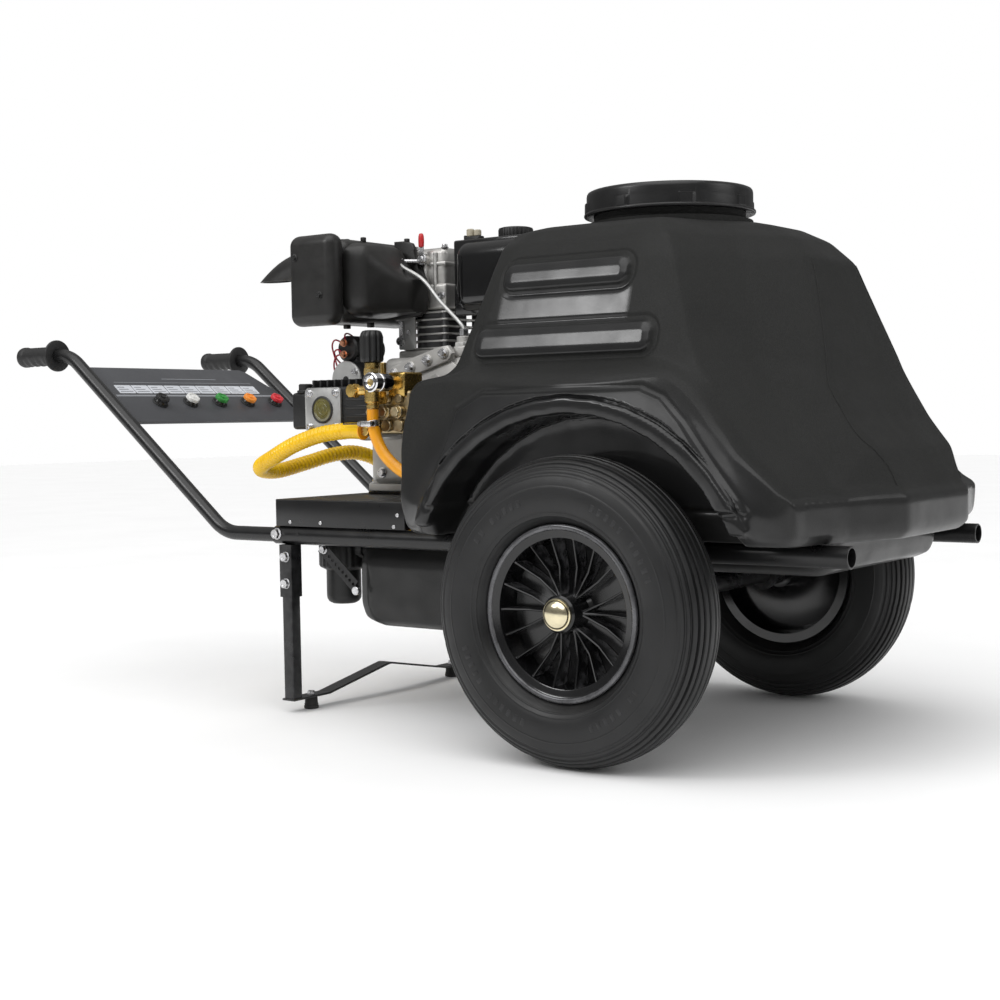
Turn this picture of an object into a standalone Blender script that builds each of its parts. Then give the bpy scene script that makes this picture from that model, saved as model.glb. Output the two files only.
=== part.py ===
"""Wheeled pressure washer: a diesel engine and plunger pump on a tube chassis with a moulded water tank.

Metres, +Z up. +X points to the rear of the tank and -X to the hand grips. The origin lies on the
ground under the middle of the machine. "near" is the -Y side, where the pump is, and "far" is +Y.
"""

from math import atan2, cos, pi, radians, sin

import bmesh
import bpy
from mathutils import Matrix, Vector

GAP = 0.0003            # clearance between pieces that touch
SIDES = {"near": -1, "far": 1}

# Wheels and axle
AXLE_X = 0.4355
AXLE_Z = 0.2
AXLE_R = 0.0125
AXLE_HALF = 0.3475
TYRE_R = 0.2
WHEEL_Y = 0.31          # middle plane of a wheel
RIM_R = 0.1136          # outer edge of the rim flange
BEAD_R = 0.1016         # where the tyre sits on the rim
RIM_HALF = 0.034
HUB_R = 0.024
SPOKES = 18
WHEEL_STEPS = 32

# Chassis, stand and handles
TUBE_Y = 0.217
TUBE_Z = 0.2737
TUBE_R = 0.014
TUBE_BORE = 0.0117
TUBE_FRONT = -0.1745
TUBE_REAR = 0.7715
STAND_X = -0.1475
STAND_Y = 0.2175
SLEEVE_HALF = 0.0125
LEG_HALF = 0.0099
FOOT_Y = 0.178
FOOT_HEIGHT = 0.0187
BRACE_THICK = 0.003
BRACE_RISE = 0.028
HANDLE_R = 0.0113
HANDLE_BORE = 0.009
HANDLE_LOW_X = -0.287
HANDLE_HIGH = (-0.6545, 0.567)
GRIP_END = -0.782
GRIP_LENGTH = 0.0955
GRIP_R = 0.016
SLOPE = atan2(HANDLE_HIGH[1] - TUBE_Z, HANDLE_LOW_X - HANDLE_HIGH[0])

# Nozzle panel, measured along the slope of the handles from their lower bend
PANEL_LOW = 0.283
PANEL_HIGH = 0.4355
PANEL_HALF = 0.2052
PANEL_THICK = 0.002
PANEL_HEM = 0.004
NOZZLE_ROW = 0.335
NOZZLE_PITCH = 0.0702
NOZZLE_COLOURS = {
    "black": (0.012, 0.012, 0.012),
    "white": (0.8, 0.8, 0.78),
    "green": (0.02, 0.3, 0.04),
    "orange": (0.85, 0.28, 0.02),
    "red": (0.6, 0.02, 0.03),
}

# Engine
TRAY = ((-0.166, -0.228, 0.288), (0.0895, 0.228, 0.329))
SHEET = 0.002
CRANK_X = -0.0645
CRANK_Z = 0.462
CYLINDER_Y = 0.063
DECK_Z = 0.5595
HEAD_Z = 0.6225
MUFFLER = ((-0.198, -0.118, 0.601), (-0.113, 0.10, 0.733))
LEVER_PIVOT = (-0.0583, 0.0055, 0.703)
FUEL_CAP = (0.096, 0.05)
RECOIL_X = 0.02

# Pump group
PUMP_FACE = -0.2225
OUTLET = (0.072, 0.501)         # X and Z of the outlet coupling
UNLOADER = (0.049, -0.2455)     # X and Y of the unloader valve
SUCTION_Z = 0.4318
FILTER = (-0.108, -0.14)
FILTER_PORT_Z = 0.249
FILTER_OUTLET_Y = -0.0683

# Hoses: diameter and the points that their centre lines pass through
SUCTION_D = 0.025
SUCTION_ROUTE = (
    (0.0258, -0.2405, 0.4318), (-0.0095, -0.2405, 0.4321), (-0.0600, -0.2405, 0.4267),
    (-0.1163, -0.2370, 0.4120), (-0.1725, -0.2230, 0.3930), (-0.2250, -0.1970, 0.3790),
    (-0.2590, -0.1580, 0.3700), (-0.2700, -0.1100, 0.3680), (-0.2670, -0.0500, 0.3785),
    (-0.2560, 0.0030, 0.3904), (-0.2460, 0.0500, 0.3930), (-0.2340, 0.0960, 0.3780),
    (-0.2220, 0.1320, 0.3440), (-0.2060, 0.1440, 0.3020), (-0.1870, 0.1270, 0.2620),
    (-0.1640, 0.0850, 0.2390), (-0.1360, 0.0400, 0.2370), (-0.1180, -0.0050, 0.2440),
    (-0.1082, -0.0360, 0.2488), (-0.1080, -0.0652, 0.2490),
)
BYPASS_D = 0.017
BYPASS_ROUTE = (
    (0.0490, -0.2455, 0.4630), (0.0490, -0.2455, 0.4440), (0.0540, -0.2450, 0.4220),
    (0.0680, -0.2440, 0.3980), (0.0880, -0.2420, 0.3800), (0.1080, -0.2400, 0.3695),
    (0.1278, -0.2390, 0.3680),
)

# Water tank: one row for each level, as height, front X, half width, X where the side turns
# in to the rear facet, and the X and Y of the rear corner. Every X is measured from the axle.
TANK_WALL = 0.005
TANK_FLOOR = 0.2882
TANK_LEVELS = (
    (TANK_FLOOR, -0.2980, 0.296, 0.288, 0.350, 0.106),
    (0.3000, -0.3015, 0.308, 0.300, 0.363, 0.110),
    (0.3430, -0.3025, 0.310, 0.300, 0.363, 0.110),
    (0.3540, -0.3035, 0.305, 0.280, 0.352, 0.112),
    (0.4000, -0.3060, 0.300, 0.232, 0.331, 0.128),
    (0.4400, -0.3095, 0.295, 0.205, 0.297, 0.137),
    (0.4850, -0.3070, 0.290, 0.178, 0.272, 0.134),
    (0.5005, -0.2940, 0.287, 0.166, 0.266, 0.128),
    (0.5075, -0.2450, 0.285, 0.161, 0.264, 0.124),
    (0.5200, -0.2300, 0.281, 0.154, 0.261, 0.119),
    (0.5850, -0.2095, 0.263, 0.128, 0.240, 0.095),
    (0.6500, -0.1920, 0.243, 0.104, 0.219, 0.072),
    (0.6800, -0.1870, 0.228, 0.088, 0.189, 0.058),
    (0.6990, -0.1780, 0.205, 0.070, 0.150, 0.050),
    (0.7070, -0.1600, 0.180, 0.055, 0.115, 0.045),
)
FACET_HOLLOW = 0.012            # how far the rear facets are drawn in
TANK_CORNER = 0.045             # radius of the body's front corners
SUMP = ((-0.4835, -0.19, 0.135), (-0.05, 0.19, 0.27))
KEEL = ((0.05, -0.188, 0.242), (0.295, 0.188, 0.31))
ARCH_R = 0.2505
ARCH_Y = 0.249
FENDER_R = 0.274
FENDER_Y = 0.328
NECK_X = AXLE_X - 0.034
NECK_R = 0.108
NECK_BORE = 0.1
NECK_TOP = 0.748
NECK_STEPS = 28
LID_R = 0.122
LID_TOP = 0.765


# ---------------------------------------------------------------- materials and plain shapes

def material(name, colour, roughness, metallic=0.0):
    made = bpy.data.materials.get(name) or bpy.data.materials.new(name)
    made.use_nodes = True
    shader = made.node_tree.nodes["Principled BSDF"]
    shader.inputs["Base Color"].default_value = (*colour, 1.0)
    shader.inputs["Roughness"].default_value = roughness
    shader.inputs["Metallic"].default_value = metallic
    return made


PAINT = ("black_paint", (0.012, 0.012, 0.013), 0.32, 0.0)
PANEL_GREY = ("panel_grey", (0.055, 0.057, 0.062), 0.42, 0.0)
TANK_PLASTIC = ("tank_plastic", (0.016, 0.018, 0.019), 0.46, 0.0)
RIM_PLASTIC = ("rim_plastic", (0.008, 0.008, 0.009), 0.2, 0.0)
BLACK_PLASTIC = ("black_plastic", (0.014, 0.014, 0.014), 0.5, 0.0)
RUBBER = ("rubber", (0.018, 0.018, 0.019), 0.72, 0.0)
ALUMINIUM = ("cast_aluminium", (0.62, 0.6, 0.57), 0.42, 1.0)
STEEL = ("steel", (0.6, 0.6, 0.6), 0.3, 1.0)
CHROME = ("chrome", (0.8, 0.8, 0.8), 0.1, 1.0)
BRASS = ("brass", (0.72, 0.5, 0.2), 0.3, 1.0)
IRON = ("cast_iron", (0.2, 0.2, 0.2), 0.55, 1.0)
EXHAUST = ("exhaust_black", (0.02, 0.019, 0.018), 0.6, 0.0)
GLASS = ("sight_glass", (0.3, 0.28, 0.08), 0.12, 0.0)
RED_PLASTIC = ("red_plastic", (0.6, 0.02, 0.03), 0.35, 0.0)
SUCTION_YELLOW = ("suction_yellow", (0.85, 0.6, 0.01), 0.32, 0.0)
BYPASS_ORANGE = ("bypass_orange", (0.85, 0.4, 0.01), 0.35, 0.0)


def new_object(name, mesh, finish, smooth=35):
    made = bpy.data.objects.new(name, mesh)
    bpy.context.scene.collection.objects.link(made)
    mesh.materials.append(material(*finish))
    if smooth and mesh.polygons:
        mesh.shade_smooth()
        mesh.set_sharp_from_angle(angle=radians(smooth))
    return made


def from_bmesh(name, bm, finish, origin=(0, 0, 0)):
    """A new object from a bmesh in world space, with its origin at the given point."""
    bmesh.ops.recalc_face_normals(bm, faces=bm.faces)
    bm.transform(Matrix.Translation(-Vector(origin)))
    mesh = bpy.data.meshes.new(name)
    bm.to_mesh(mesh)
    bm.free()
    made = new_object(name, mesh, finish)
    made.location = origin
    return made


def box(name, low, high, finish, bevel=0.0, steps=1, origin=(0, 0, 0)):
    bm = bmesh.new()
    bmesh.ops.create_cube(bm, size=1.0)
    size = Vector(high) - Vector(low)
    middle = (Vector(high) + Vector(low)) / 2
    bm.transform(Matrix.Translation(middle) @ Matrix.Diagonal((*size, 1.0)))
    if bevel:
        bmesh.ops.bevel(bm, geom=bm.edges[:], offset=bevel, segments=steps,
                        profile=0.5, affect="EDGES")
    return from_bmesh(name, bm, finish, origin)


def axis_matrix(axis, centre):
    """Turns +Z to the given axis and moves the origin to the centre."""
    turn = Vector((0, 0, 1)).rotation_difference(Vector(axis)).to_matrix().to_4x4()
    return Matrix.Translation(Vector(centre)) @ turn


def turned(name, profile, finish, centre, axis=(0, 0, 1), steps=32, origin=None, ring=False):
    """A solid of revolution from (radius, height) points; ring closes the profile on itself."""
    bm = bmesh.new()
    rows = []
    for radius, height in profile:
        if radius <= 0:
            rows.append([bm.verts.new((0, 0, height))])
            continue
        rows.append([
            bm.verts.new((radius * cos(2 * pi * i / steps), radius * sin(2 * pi * i / steps), height))
            for i in range(steps)
        ])
    pairs = list(zip(rows, rows[1:]))
    if ring:
        pairs.append((rows[-1], rows[0]))
    for a, b in pairs:
        for i in range(steps):
            j = (i + 1) % steps
            if len(a) == 1 and len(b) > 1:
                bm.faces.new((a[0], b[i], b[j]))
            elif len(b) == 1 and len(a) > 1:
                bm.faces.new((a[i], a[j], b[0]))
            elif len(a) > 1:
                bm.faces.new((a[i], a[j], b[j], b[i]))
    bm.transform(axis_matrix(axis, centre))
    return from_bmesh(name, bm, finish, origin or centre)


def cylinder(name, start, end, radius, finish, steps=24, origin=None):
    axis = Vector(end) - Vector(start)
    profile = ((0, 0), (radius, 0), (radius, axis.length), (0, axis.length))
    return turned(name, profile, finish, start, axis, steps, origin)


def pipe(name, start, end, radius, bore, finish, steps=24, origin=None):
    axis = Vector(end) - Vector(start)
    profile = ((bore, 0), (radius, 0), (radius, axis.length), (bore, axis.length))
    return turned(name, profile, finish, start, axis, steps, origin, ring=True)


def prism(name, outline, low, high, finish, plane="XZ", origin=(0, 0, 0)):
    """An outline in the XZ or XY plane, extruded between two positions on the third axis."""
    place = (lambda u, v, w: (u, w, v)) if plane == "XZ" else (lambda u, v, w: (u, v, w))
    bm = bmesh.new()
    first = [bm.verts.new(place(u, v, low)) for u, v in outline]
    second = [bm.verts.new(place(u, v, high)) for u, v in outline]
    bm.faces.new(first)
    bm.faces.new(second)
    for i in range(len(outline)):
        j = (i + 1) % len(outline)
        bm.faces.new((first[i], first[j], second[j], second[i]))
    return from_bmesh(name, bm, finish, origin)


def loft(name, rings, finish, origin=(0, 0, 0)):
    """A closed solid through rings of equal length, with its first and last ring filled."""
    bm = bmesh.new()
    rows = [[bm.verts.new(point) for point in ring] for ring in rings]
    for a, b in zip(rows, rows[1:]):
        for i in range(len(a)):
            j = (i + 1) % len(a)
            bm.faces.new((a[i], a[j], b[j], b[i]))
    bm.faces.new(rows[0])
    bm.faces.new(rows[-1])
    return from_bmesh(name, bm, finish, origin)


def boolean(target, operand, operation):
    """Applies one Boolean and removes the operand."""
    made = target.modifiers.new(operation.lower(), "BOOLEAN")
    made.operation = operation
    made.object = operand
    graph = bpy.context.evaluated_depsgraph_get()
    mesh = bpy.data.meshes.new_from_object(target.evaluated_get(graph))
    bm = bmesh.new()
    bm.from_mesh(mesh)
    bmesh.ops.remove_doubles(bm, verts=bm.verts, dist=1e-6)
    bmesh.ops.triangulate(bm, faces=bm.faces)
    bm.to_mesh(mesh)
    bm.free()
    target.modifiers.clear()
    target.data = mesh
    bpy.data.objects.remove(operand)
    return target


def union(target, *operands):
    for operand in operands:
        boolean(target, operand, "UNION")
    return target


def cut(target, *operands):
    for operand in operands:
        boolean(target, operand, "DIFFERENCE")
    return target


def filleted(points, radius, steps=4):
    """A path with each inner corner replaced by an arc of the given radius."""
    points = [Vector(p) for p in points]
    path = [points[0]]
    for before, corner, after in zip(points, points[1:], points[2:]):
        back = (before - corner).normalized()
        ahead = (after - corner).normalized()
        half = back.angle(ahead) / 2
        reach = radius / abs(sin(half) / cos(half))
        centre = corner + (back + ahead).normalized() * radius / sin(half)
        start = corner + back * reach - centre
        end = corner + ahead * reach - centre
        turn = start.rotation_difference(end)
        for i in range(steps + 1):
            step = turn.copy()
            step.identity()
            path.append(centre + step.slerp(turn, i / steps) @ start)
    path.append(points[-1])
    return path


def swept(name, path, radius, finish, bore=0.0, steps=10):
    """A round tube along a path that lies in a plane of constant Y."""
    bm = bmesh.new()
    side = Vector((0, 1, 0))
    rings = {radius: [], bore: []}
    for i, point in enumerate(path):
        ahead = path[min(i + 1, len(path) - 1)] - path[max(i - 1, 0)]
        up = ahead.normalized().cross(side)
        for size in rings:
            rings[size].append([
                bm.verts.new(point + size * (cos(2 * pi * k / steps) * side + sin(2 * pi * k / steps) * up))
                for k in range(steps)
            ])
    for rows in rings.values():
        for a, b in zip(rows, rows[1:]):
            for k in range(steps):
                j = (k + 1) % steps
                bm.faces.new((a[k], a[j], b[j], b[k]))
    for end in (0, -1):
        outer = rings[radius][end]
        inner = rings[bore][end]
        for k in range(steps):
            j = (k + 1) % steps
            bm.faces.new((outer[k], outer[j], inner[j], inner[k]))
    return from_bmesh(name, bm, finish)


def smooth_route(route, spacing):
    """Points at an even spacing on a smooth curve (Catmull-Rom) through the route's points."""
    points = [Vector(p) for p in route]
    padded = [2 * points[0] - points[1], *points, 2 * points[-1] - points[-2]]
    fine = []
    for a, b, c, d in zip(padded, padded[1:], padded[2:], padded[3:]):
        for i in range(16):
            t = i / 16
            fine.append(0.5 * (2 * b + (c - a) * t + (2 * a - 5 * b + 4 * c - d) * t * t
                               + (3 * b - a - 3 * c + d) * t ** 3))
    fine.append(points[-1])
    lengths = [0.0]
    for a, b in zip(fine, fine[1:]):
        lengths.append(lengths[-1] + (b - a).length)
    count = max(2, round(lengths[-1] / spacing))
    even = []
    k = 0
    for i in range(count + 1):
        wanted = lengths[-1] * i / count
        while k < len(fine) - 2 and lengths[k + 1] < wanted:
            k += 1
        part = (wanted - lengths[k]) / (lengths[k + 1] - lengths[k])
        even.append(fine[k].lerp(fine[k + 1], part))
    return even


def hose(name, route, diameter, finish):
    """A hose as a bevelled curve with filled ends."""
    points = smooth_route(route, 2 * diameter)
    curve = bpy.data.curves.new(name, "CURVE")
    curve.dimensions = "3D"
    curve.bevel_depth = diameter / 2
    curve.bevel_resolution = 2
    curve.use_fill_caps = True
    spline = curve.splines.new("POLY")
    spline.points.add(len(points) - 1)
    for target, point in zip(spline.points, points):
        target.co = (*point, 1.0)
    curve.materials.append(material(*finish))
    made = bpy.data.objects.new(name, curve)
    bpy.context.scene.collection.objects.link(made)
    return made


# ---------------------------------------------------------------- wheels and axle

def tyre_profile():
    """The tyre's cross-section, as (radius, distance from the middle plane)."""
    outer = ((BEAD_R, 0.0292), (0.1142, 0.0294), (0.1240, 0.0448), (0.1480, 0.0502),
             (0.1800, 0.0448), (0.1950, 0.0285), (TYRE_R, 0.0090))
    inner = ((BEAD_R, 0.0222), (0.1280, 0.0385), (0.1740, 0.0375), (0.1905, 0.0100))
    outside = list(outer) + [(r, -y) for r, y in reversed(outer)]
    inside = [(r, -y) for r, y in inner] + [(r, y) for r, y in reversed(inner)]
    return outside + inside


def rim_profile():
    """Flange, drum, web and bored hub, from the outer side to the inner side."""
    hub_out = 0.0385
    hub_in = -0.044
    lip = BEAD_R - GAP
    bore = AXLE_R + GAP
    return (
        (RIM_R, RIM_HALF), (RIM_R, RIM_HALF - 0.0042), (lip, RIM_HALF - 0.0046), (lip, -RIM_HALF + 0.0046),
        (RIM_R, -RIM_HALF + 0.0042), (RIM_R, -RIM_HALF), (0.098, -RIM_HALF), (0.096, -0.004),
        (HUB_R, -0.008), (HUB_R, hub_in), (bore, hub_in), (bore, hub_out), (HUB_R, hub_out),
        (HUB_R, -0.002), (0.096, 0.002), (0.098, RIM_HALF),
    )


def add_spokes(rim, side):
    """Thin radial ribs in front of the web, from the hub to the drum."""
    for i in range(SPOKES):
        rib = box("rib", (HUB_R - 0.002, -0.0014, -0.003), (0.0975, 0.0014, 0.024), RIM_PLASTIC)
        turn = Matrix.Rotation(2 * pi * i / SPOKES, 4, "Z")
        rib.data.transform(axis_matrix((0, side, 0), (AXLE_X, side * WHEEL_Y, AXLE_Z)) @ turn)
        rib.data.transform(Matrix.Translation((-AXLE_X, -side * WHEEL_Y, -AXLE_Z)))
        rib.location = rim.location
        union(rim, rib)


def make_wheels():
    for word, side in SIDES.items():
        centre = (AXLE_X, side * WHEEL_Y, AXLE_Z)
        axis = (0, side, 0)
        turned(f"tyre_{word}", tyre_profile(), RUBBER, centre, axis, steps=WHEEL_STEPS, ring=True)
        rim = turned(f"rim_{word}", rim_profile(), RIM_PLASTIC, centre, axis, steps=WHEEL_STEPS, ring=True)
        add_spokes(rim, side)
        dome = ((0, 0), (0.0205, 0), (0.0205, 0.003), (0.0175, 0.0075), (0.0105, 0.0108), (0, 0.0118))
        turned(f"hub_cap_{word}", dome, BRASS, (AXLE_X, side * (WHEEL_Y + 0.0388), AXLE_Z), axis, 24)
    cylinder("axle", (AXLE_X, -AXLE_HALF, AXLE_Z), (AXLE_X, AXLE_HALF, AXLE_Z), AXLE_R, STEEL, 24)


def make_axle_brackets():
    """Plates that hang from the chassis tubes and carry the axle."""
    top = TUBE_Z - TUBE_R - GAP
    foot = [(AXLE_X + 0.022 * cos(a), AXLE_Z + 0.022 * sin(a))
            for a in (radians(180 + 20 * i) for i in range(10))]
    outline = [(AXLE_X - 0.055, top), *foot, (AXLE_X + 0.055, top)]
    for word, side in SIDES.items():
        low, high = sorted((side * 0.213, side * 0.221))
        plate = prism(f"axle_bracket_{word}", outline, low, high, PAINT)
        cut(plate, cylinder("hole", (AXLE_X, low - 0.01, AXLE_Z), (AXLE_X, high + 0.01, AXLE_Z),
                            AXLE_R + GAP, PAINT, 24))


# ---------------------------------------------------------------- chassis, stand and handles

def make_chassis():
    for word, side in SIDES.items():
        y = side * TUBE_Y
        pipe(f"chassis_tube_{word}", (TUBE_FRONT, y, TUBE_Z), (TUBE_REAR, y, TUBE_Z),
             TUBE_R, TUBE_BORE, PAINT, 20)


def square_tube(name, x, y, low, high, half, wall, finish):
    made = box(name, (x - half, y - half, low), (x + half, y + half, high), finish)
    inner = half - wall
    return cut(made, box("hole", (x - inner, y - inner, low - 0.01), (x + inner, y + inner, high + 0.01),
                         finish))


def make_stand():
    leg_foot = FOOT_HEIGHT + GAP + BRACE_THICK + GAP
    for word, side in SIDES.items():
        y = side * STAND_Y
        square_tube(f"leg_sleeve_{word}", STAND_X, y, 0.179, TUBE_Z - TUBE_R - GAP,
                    SLEEVE_HALF, 0.0023, PAINT)
        square_tube(f"stand_leg_{word}", STAND_X, y, leg_foot, 0.252, LEG_HALF, 0.002, PAINT)
        profile = ((0, 0), (0.0115, 0), (0.0115, 0.004), (0.0095, FOOT_HEIGHT), (0, FOOT_HEIGHT))
        turned(f"foot_{word}", profile, RUBBER, (STAND_X, side * FOOT_Y, 0), steps=20)
    low = FOOT_HEIGHT + GAP
    spine = ((-0.229, low), (-0.148, low), (0, low + BRACE_RISE), (0.148, low), (0.229, low))
    rings = [[(STAND_X + dx, y, z + dz) for dx, dz in
              ((-0.0125, 0), (0.0125, 0), (0.0125, BRACE_THICK), (-0.0125, BRACE_THICK))]
             for y, z in spine]
    loft("stand_brace", rings, PAINT)


def make_handles():
    for word, side in SIDES.items():
        y = side * TUBE_Y
        corners = ((TUBE_FRONT + 0.055, y, TUBE_Z), (HANDLE_LOW_X, y, TUBE_Z),
                   (HANDLE_HIGH[0], y, HANDLE_HIGH[1]), (GRIP_END + 0.006, y, HANDLE_HIGH[1]))
        swept(f"handle_{word}", filleted(corners, 0.075), HANDLE_R, PAINT, HANDLE_BORE)
        bore = HANDLE_R + GAP
        profile = ((0, 0), (GRIP_R - 0.002, 0), (GRIP_R + 0.0015, 0.004), (GRIP_R + 0.0015, 0.014),
                   (GRIP_R, 0.017), (GRIP_R, GRIP_LENGTH - 0.007), (0.027, GRIP_LENGTH - 0.005),
                   (0.027, GRIP_LENGTH), (bore, GRIP_LENGTH), (bore, 0.0055), (0, 0.0055))
        turned(f"grip_{word}", profile, RUBBER, (GRIP_END, y, HANDLE_HIGH[1]), (1, 0, 0), 16)


def slope_point(along, y, out=0.0):
    """A point on the handles' sloping plane, out from its upper face."""
    return Vector((HANDLE_LOW_X - along * cos(SLOPE) + out * sin(SLOPE), y,
                   TUBE_Z + along * sin(SLOPE) + out * cos(SLOPE)))


def slope_prism(name, outline, low, high, finish):
    """An outline of (distance up the slope, Y) points, extruded along the slope's normal."""
    rings = [[slope_point(along, y, out) for along, y in outline] for out in (low, high)]
    return loft(name, rings, finish)


def make_panel():
    outline = ((PANEL_LOW, -PANEL_HALF), (PANEL_LOW, PANEL_HALF), (PANEL_HIGH - 0.075, PANEL_HALF),
               (PANEL_HIGH, PANEL_HALF - 0.045), (PANEL_HIGH, -PANEL_HALF))
    panel = slope_prism("control_panel", outline, -PANEL_THICK / 2, PANEL_THICK / 2, PANEL_GREY)
    hem = ((PANEL_LOW, -PANEL_HALF), (PANEL_LOW, PANEL_HALF),
           (PANEL_LOW + PANEL_THICK, PANEL_HALF), (PANEL_LOW + PANEL_THICK, -PANEL_HALF))
    union(panel, slope_prism("hem", hem, -PANEL_HEM, 0, PANEL_GREY))
    for index, (colour, rgb) in enumerate(NOZZLE_COLOURS.items()):
        y = (index - 2) * NOZZLE_PITCH + 0.0275
        axis = slope_point(0, 0, 1) - slope_point(0, 0)
        hole = cylinder("hole", slope_point(NOZZLE_ROW, y, -0.02), slope_point(NOZZLE_ROW, y, 0.02),
                        0.0085, PANEL_GREY, 12)
        cut(panel, hole)
        profile = ((0, -0.016), (0.0045, -0.016), (0.0065, -0.010), (0.0065, 0.0022), (0.0105, 0.0022),
                   (0.0122, 0.0045), (0.0122, 0.0125), (0.0100, 0.0160), (0, 0.0160))
        turned(f"nozzle_{colour}", profile, (f"nozzle_{colour}", rgb, 0.35),
               slope_point(NOZZLE_ROW, y), axis, 10)


# ---------------------------------------------------------------- engine

def make_tray():
    low, high = TRAY
    tray = box("engine_tray", low, high, PAINT)
    inner_low = (low[0] + SHEET, low[1] + SHEET, low[2] - 0.01)
    inner_high = (high[0] - SHEET, high[1] - SHEET, high[2] - SHEET)
    cut(tray, box("inner", inner_low, inner_high, PAINT))
    for y in (-0.045, 0.125):
        union(tray, box("rail", (-0.137, y, high[2] - 0.001), (0.055, y + 0.03, high[2] + 0.004), PAINT))


def make_crankcase():
    base = TRAY[1][2] + 0.004 + GAP
    body = box("crankcase", (-0.122, -0.058, base + 0.012), (0.062, 0.155, 0.48), ALUMINIUM, 0.012, 2)
    union(body,
          box("foot", (-0.132, -0.05, base), (0.055, 0.15, base + 0.013), ALUMINIUM, 0.002),
          box("upper", (-0.092, -0.056, 0.45), (0.072, 0.15, 0.545), ALUMINIUM, 0.01, 2),
          box("deck", (-0.114, 0.010, 0.53), (0.02, 0.118, DECK_Z - GAP), ALUMINIUM, 0.003),
          cylinder("injection_pump", (0.052, -0.03, 0.53), (0.052, -0.03, 0.576), 0.012, ALUMINIUM, 16))
    bore = 0.0155
    cut(body,
        cylinder("bore", (CRANK_X, -0.1, CRANK_Z), (CRANK_X, 0.2, CRANK_Z), bore, ALUMINIUM, 24),
        cylinder("chamber", (CRANK_X, -0.02, CRANK_Z), (CRANK_X, 0.125, CRANK_Z), 0.054, ALUMINIUM, 24))


def make_crankshaft():
    """The shaft with its two webs and offset pin; its tapered end carries the flywheel."""
    axis = (CRANK_X, CRANK_Z)
    shaft = cylinder("crankshaft", (axis[0], -0.168, axis[1]), (axis[0], 0.205, axis[1]), 0.012, STEEL, 20,
                     origin=(axis[0], 0.05, axis[1]))
    web = [(axis[0] - 0.02, axis[1] - 0.045), (axis[0] + 0.02, axis[1] - 0.045),
           (axis[0] + 0.02, axis[1] + 0.045), (axis[0] - 0.02, axis[1] + 0.045)]
    for y in (0.025, 0.075):
        union(shaft, prism("web", web, y, y + 0.018, STEEL))
    pin = cylinder("pin", (axis[0], 0.03, axis[1] + 0.031), (axis[0], 0.09, axis[1] + 0.031),
                   0.0125, STEEL, 16)
    union(shaft, pin)
    cut(shaft, box("gap", (axis[0] - 0.03, 0.0435, axis[1] - 0.05),
                   (axis[0] + 0.03, 0.0745, axis[1] + 0.0135), STEEL))
    disc = ((0.0123, 0), (0.05, 0), (0.052, 0.012), (0.092, 0.014), (0.092, 0.034), (0.03, 0.034),
            (0.0123, 0.034))
    turned("flywheel", disc, IRON, (axis[0], 0.171, axis[1]), (0, 1, 0), 24, ring=True)


def make_fan_housing():
    shell = ((0.118, 0), (0.118, 0.062), (0.108, 0.074), (0.055, 0.078), (0.055, 0.096), (0, 0.096),
             (0, 0.093), (0.052, 0.093), (0.052, 0.075), (0.105, 0.071), (0.115, 0.060), (0.115, 0))
    turned("fan_housing", shell, BLACK_PLASTIC, (CRANK_X, 0.160, CRANK_Z), (0, 1, 0), 24, ring=True)


def make_recoil_handle():
    foot = (RECOIL_X, 0.222, 0.5605)
    stem = cylinder("recoil_handle", foot, (foot[0], foot[1], foot[2] + 0.018), 0.006, BLACK_PLASTIC, 16)
    union(stem, box("bar", (foot[0] - 0.045, foot[1] - 0.011, foot[2] + 0.014),
                    (foot[0] + 0.045, foot[1] + 0.011, foot[2] + 0.034), BLACK_PLASTIC, 0.006, 2))


def make_cylinder_and_head():
    x = CRANK_X
    core = cylinder("cylinder", (x, CYLINDER_Y, DECK_Z), (x, CYLINDER_Y, HEAD_Z - GAP), 0.041,
                    ALUMINIUM, 16)
    half = 0.048
    for i in range(6):
        z = DECK_Z + 0.0005 + i * 0.0115
        fin = box("fin", (x - half, CYLINDER_Y - half, z), (x + half, CYLINDER_Y + half, z + 0.003),
                  ALUMINIUM)
        union(core, fin)
    head = box("rocker_cover", (x - 0.046, 0.0135, HEAD_Z), (x + 0.048, 0.108, 0.664), ALUMINIUM, 0.004)
    union(head, box("dome", (x - 0.026, 0.0160, 0.655), (x + 0.044, 0.104, 0.7215), ALUMINIUM, 0.009, 2),
          cylinder("pivot_boss", (LEVER_PIVOT[0], 0.02, LEVER_PIVOT[2]),
                   (LEVER_PIVOT[0], LEVER_PIVOT[1] + 0.0045, LEVER_PIVOT[2]), 0.007, ALUMINIUM, 16))


def make_decompression_lever():
    x, y, z = LEVER_PIVOT
    lever = cylinder("decompression_lever", (x, y - 0.002, z), (x, y + 0.004, z), 0.0085, STEEL, 16,
                     origin=(x, y, z))
    union(lever, box("arm", (x - 0.0035, y - 0.0015, z), (x + 0.0035, y + 0.0015, z + 0.026), STEEL),
          box("tip", (x - 0.0055, y - 0.004, z + 0.021), (x + 0.0055, y + 0.004, z + 0.042),
              RED_PLASTIC, 0.003))


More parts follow.
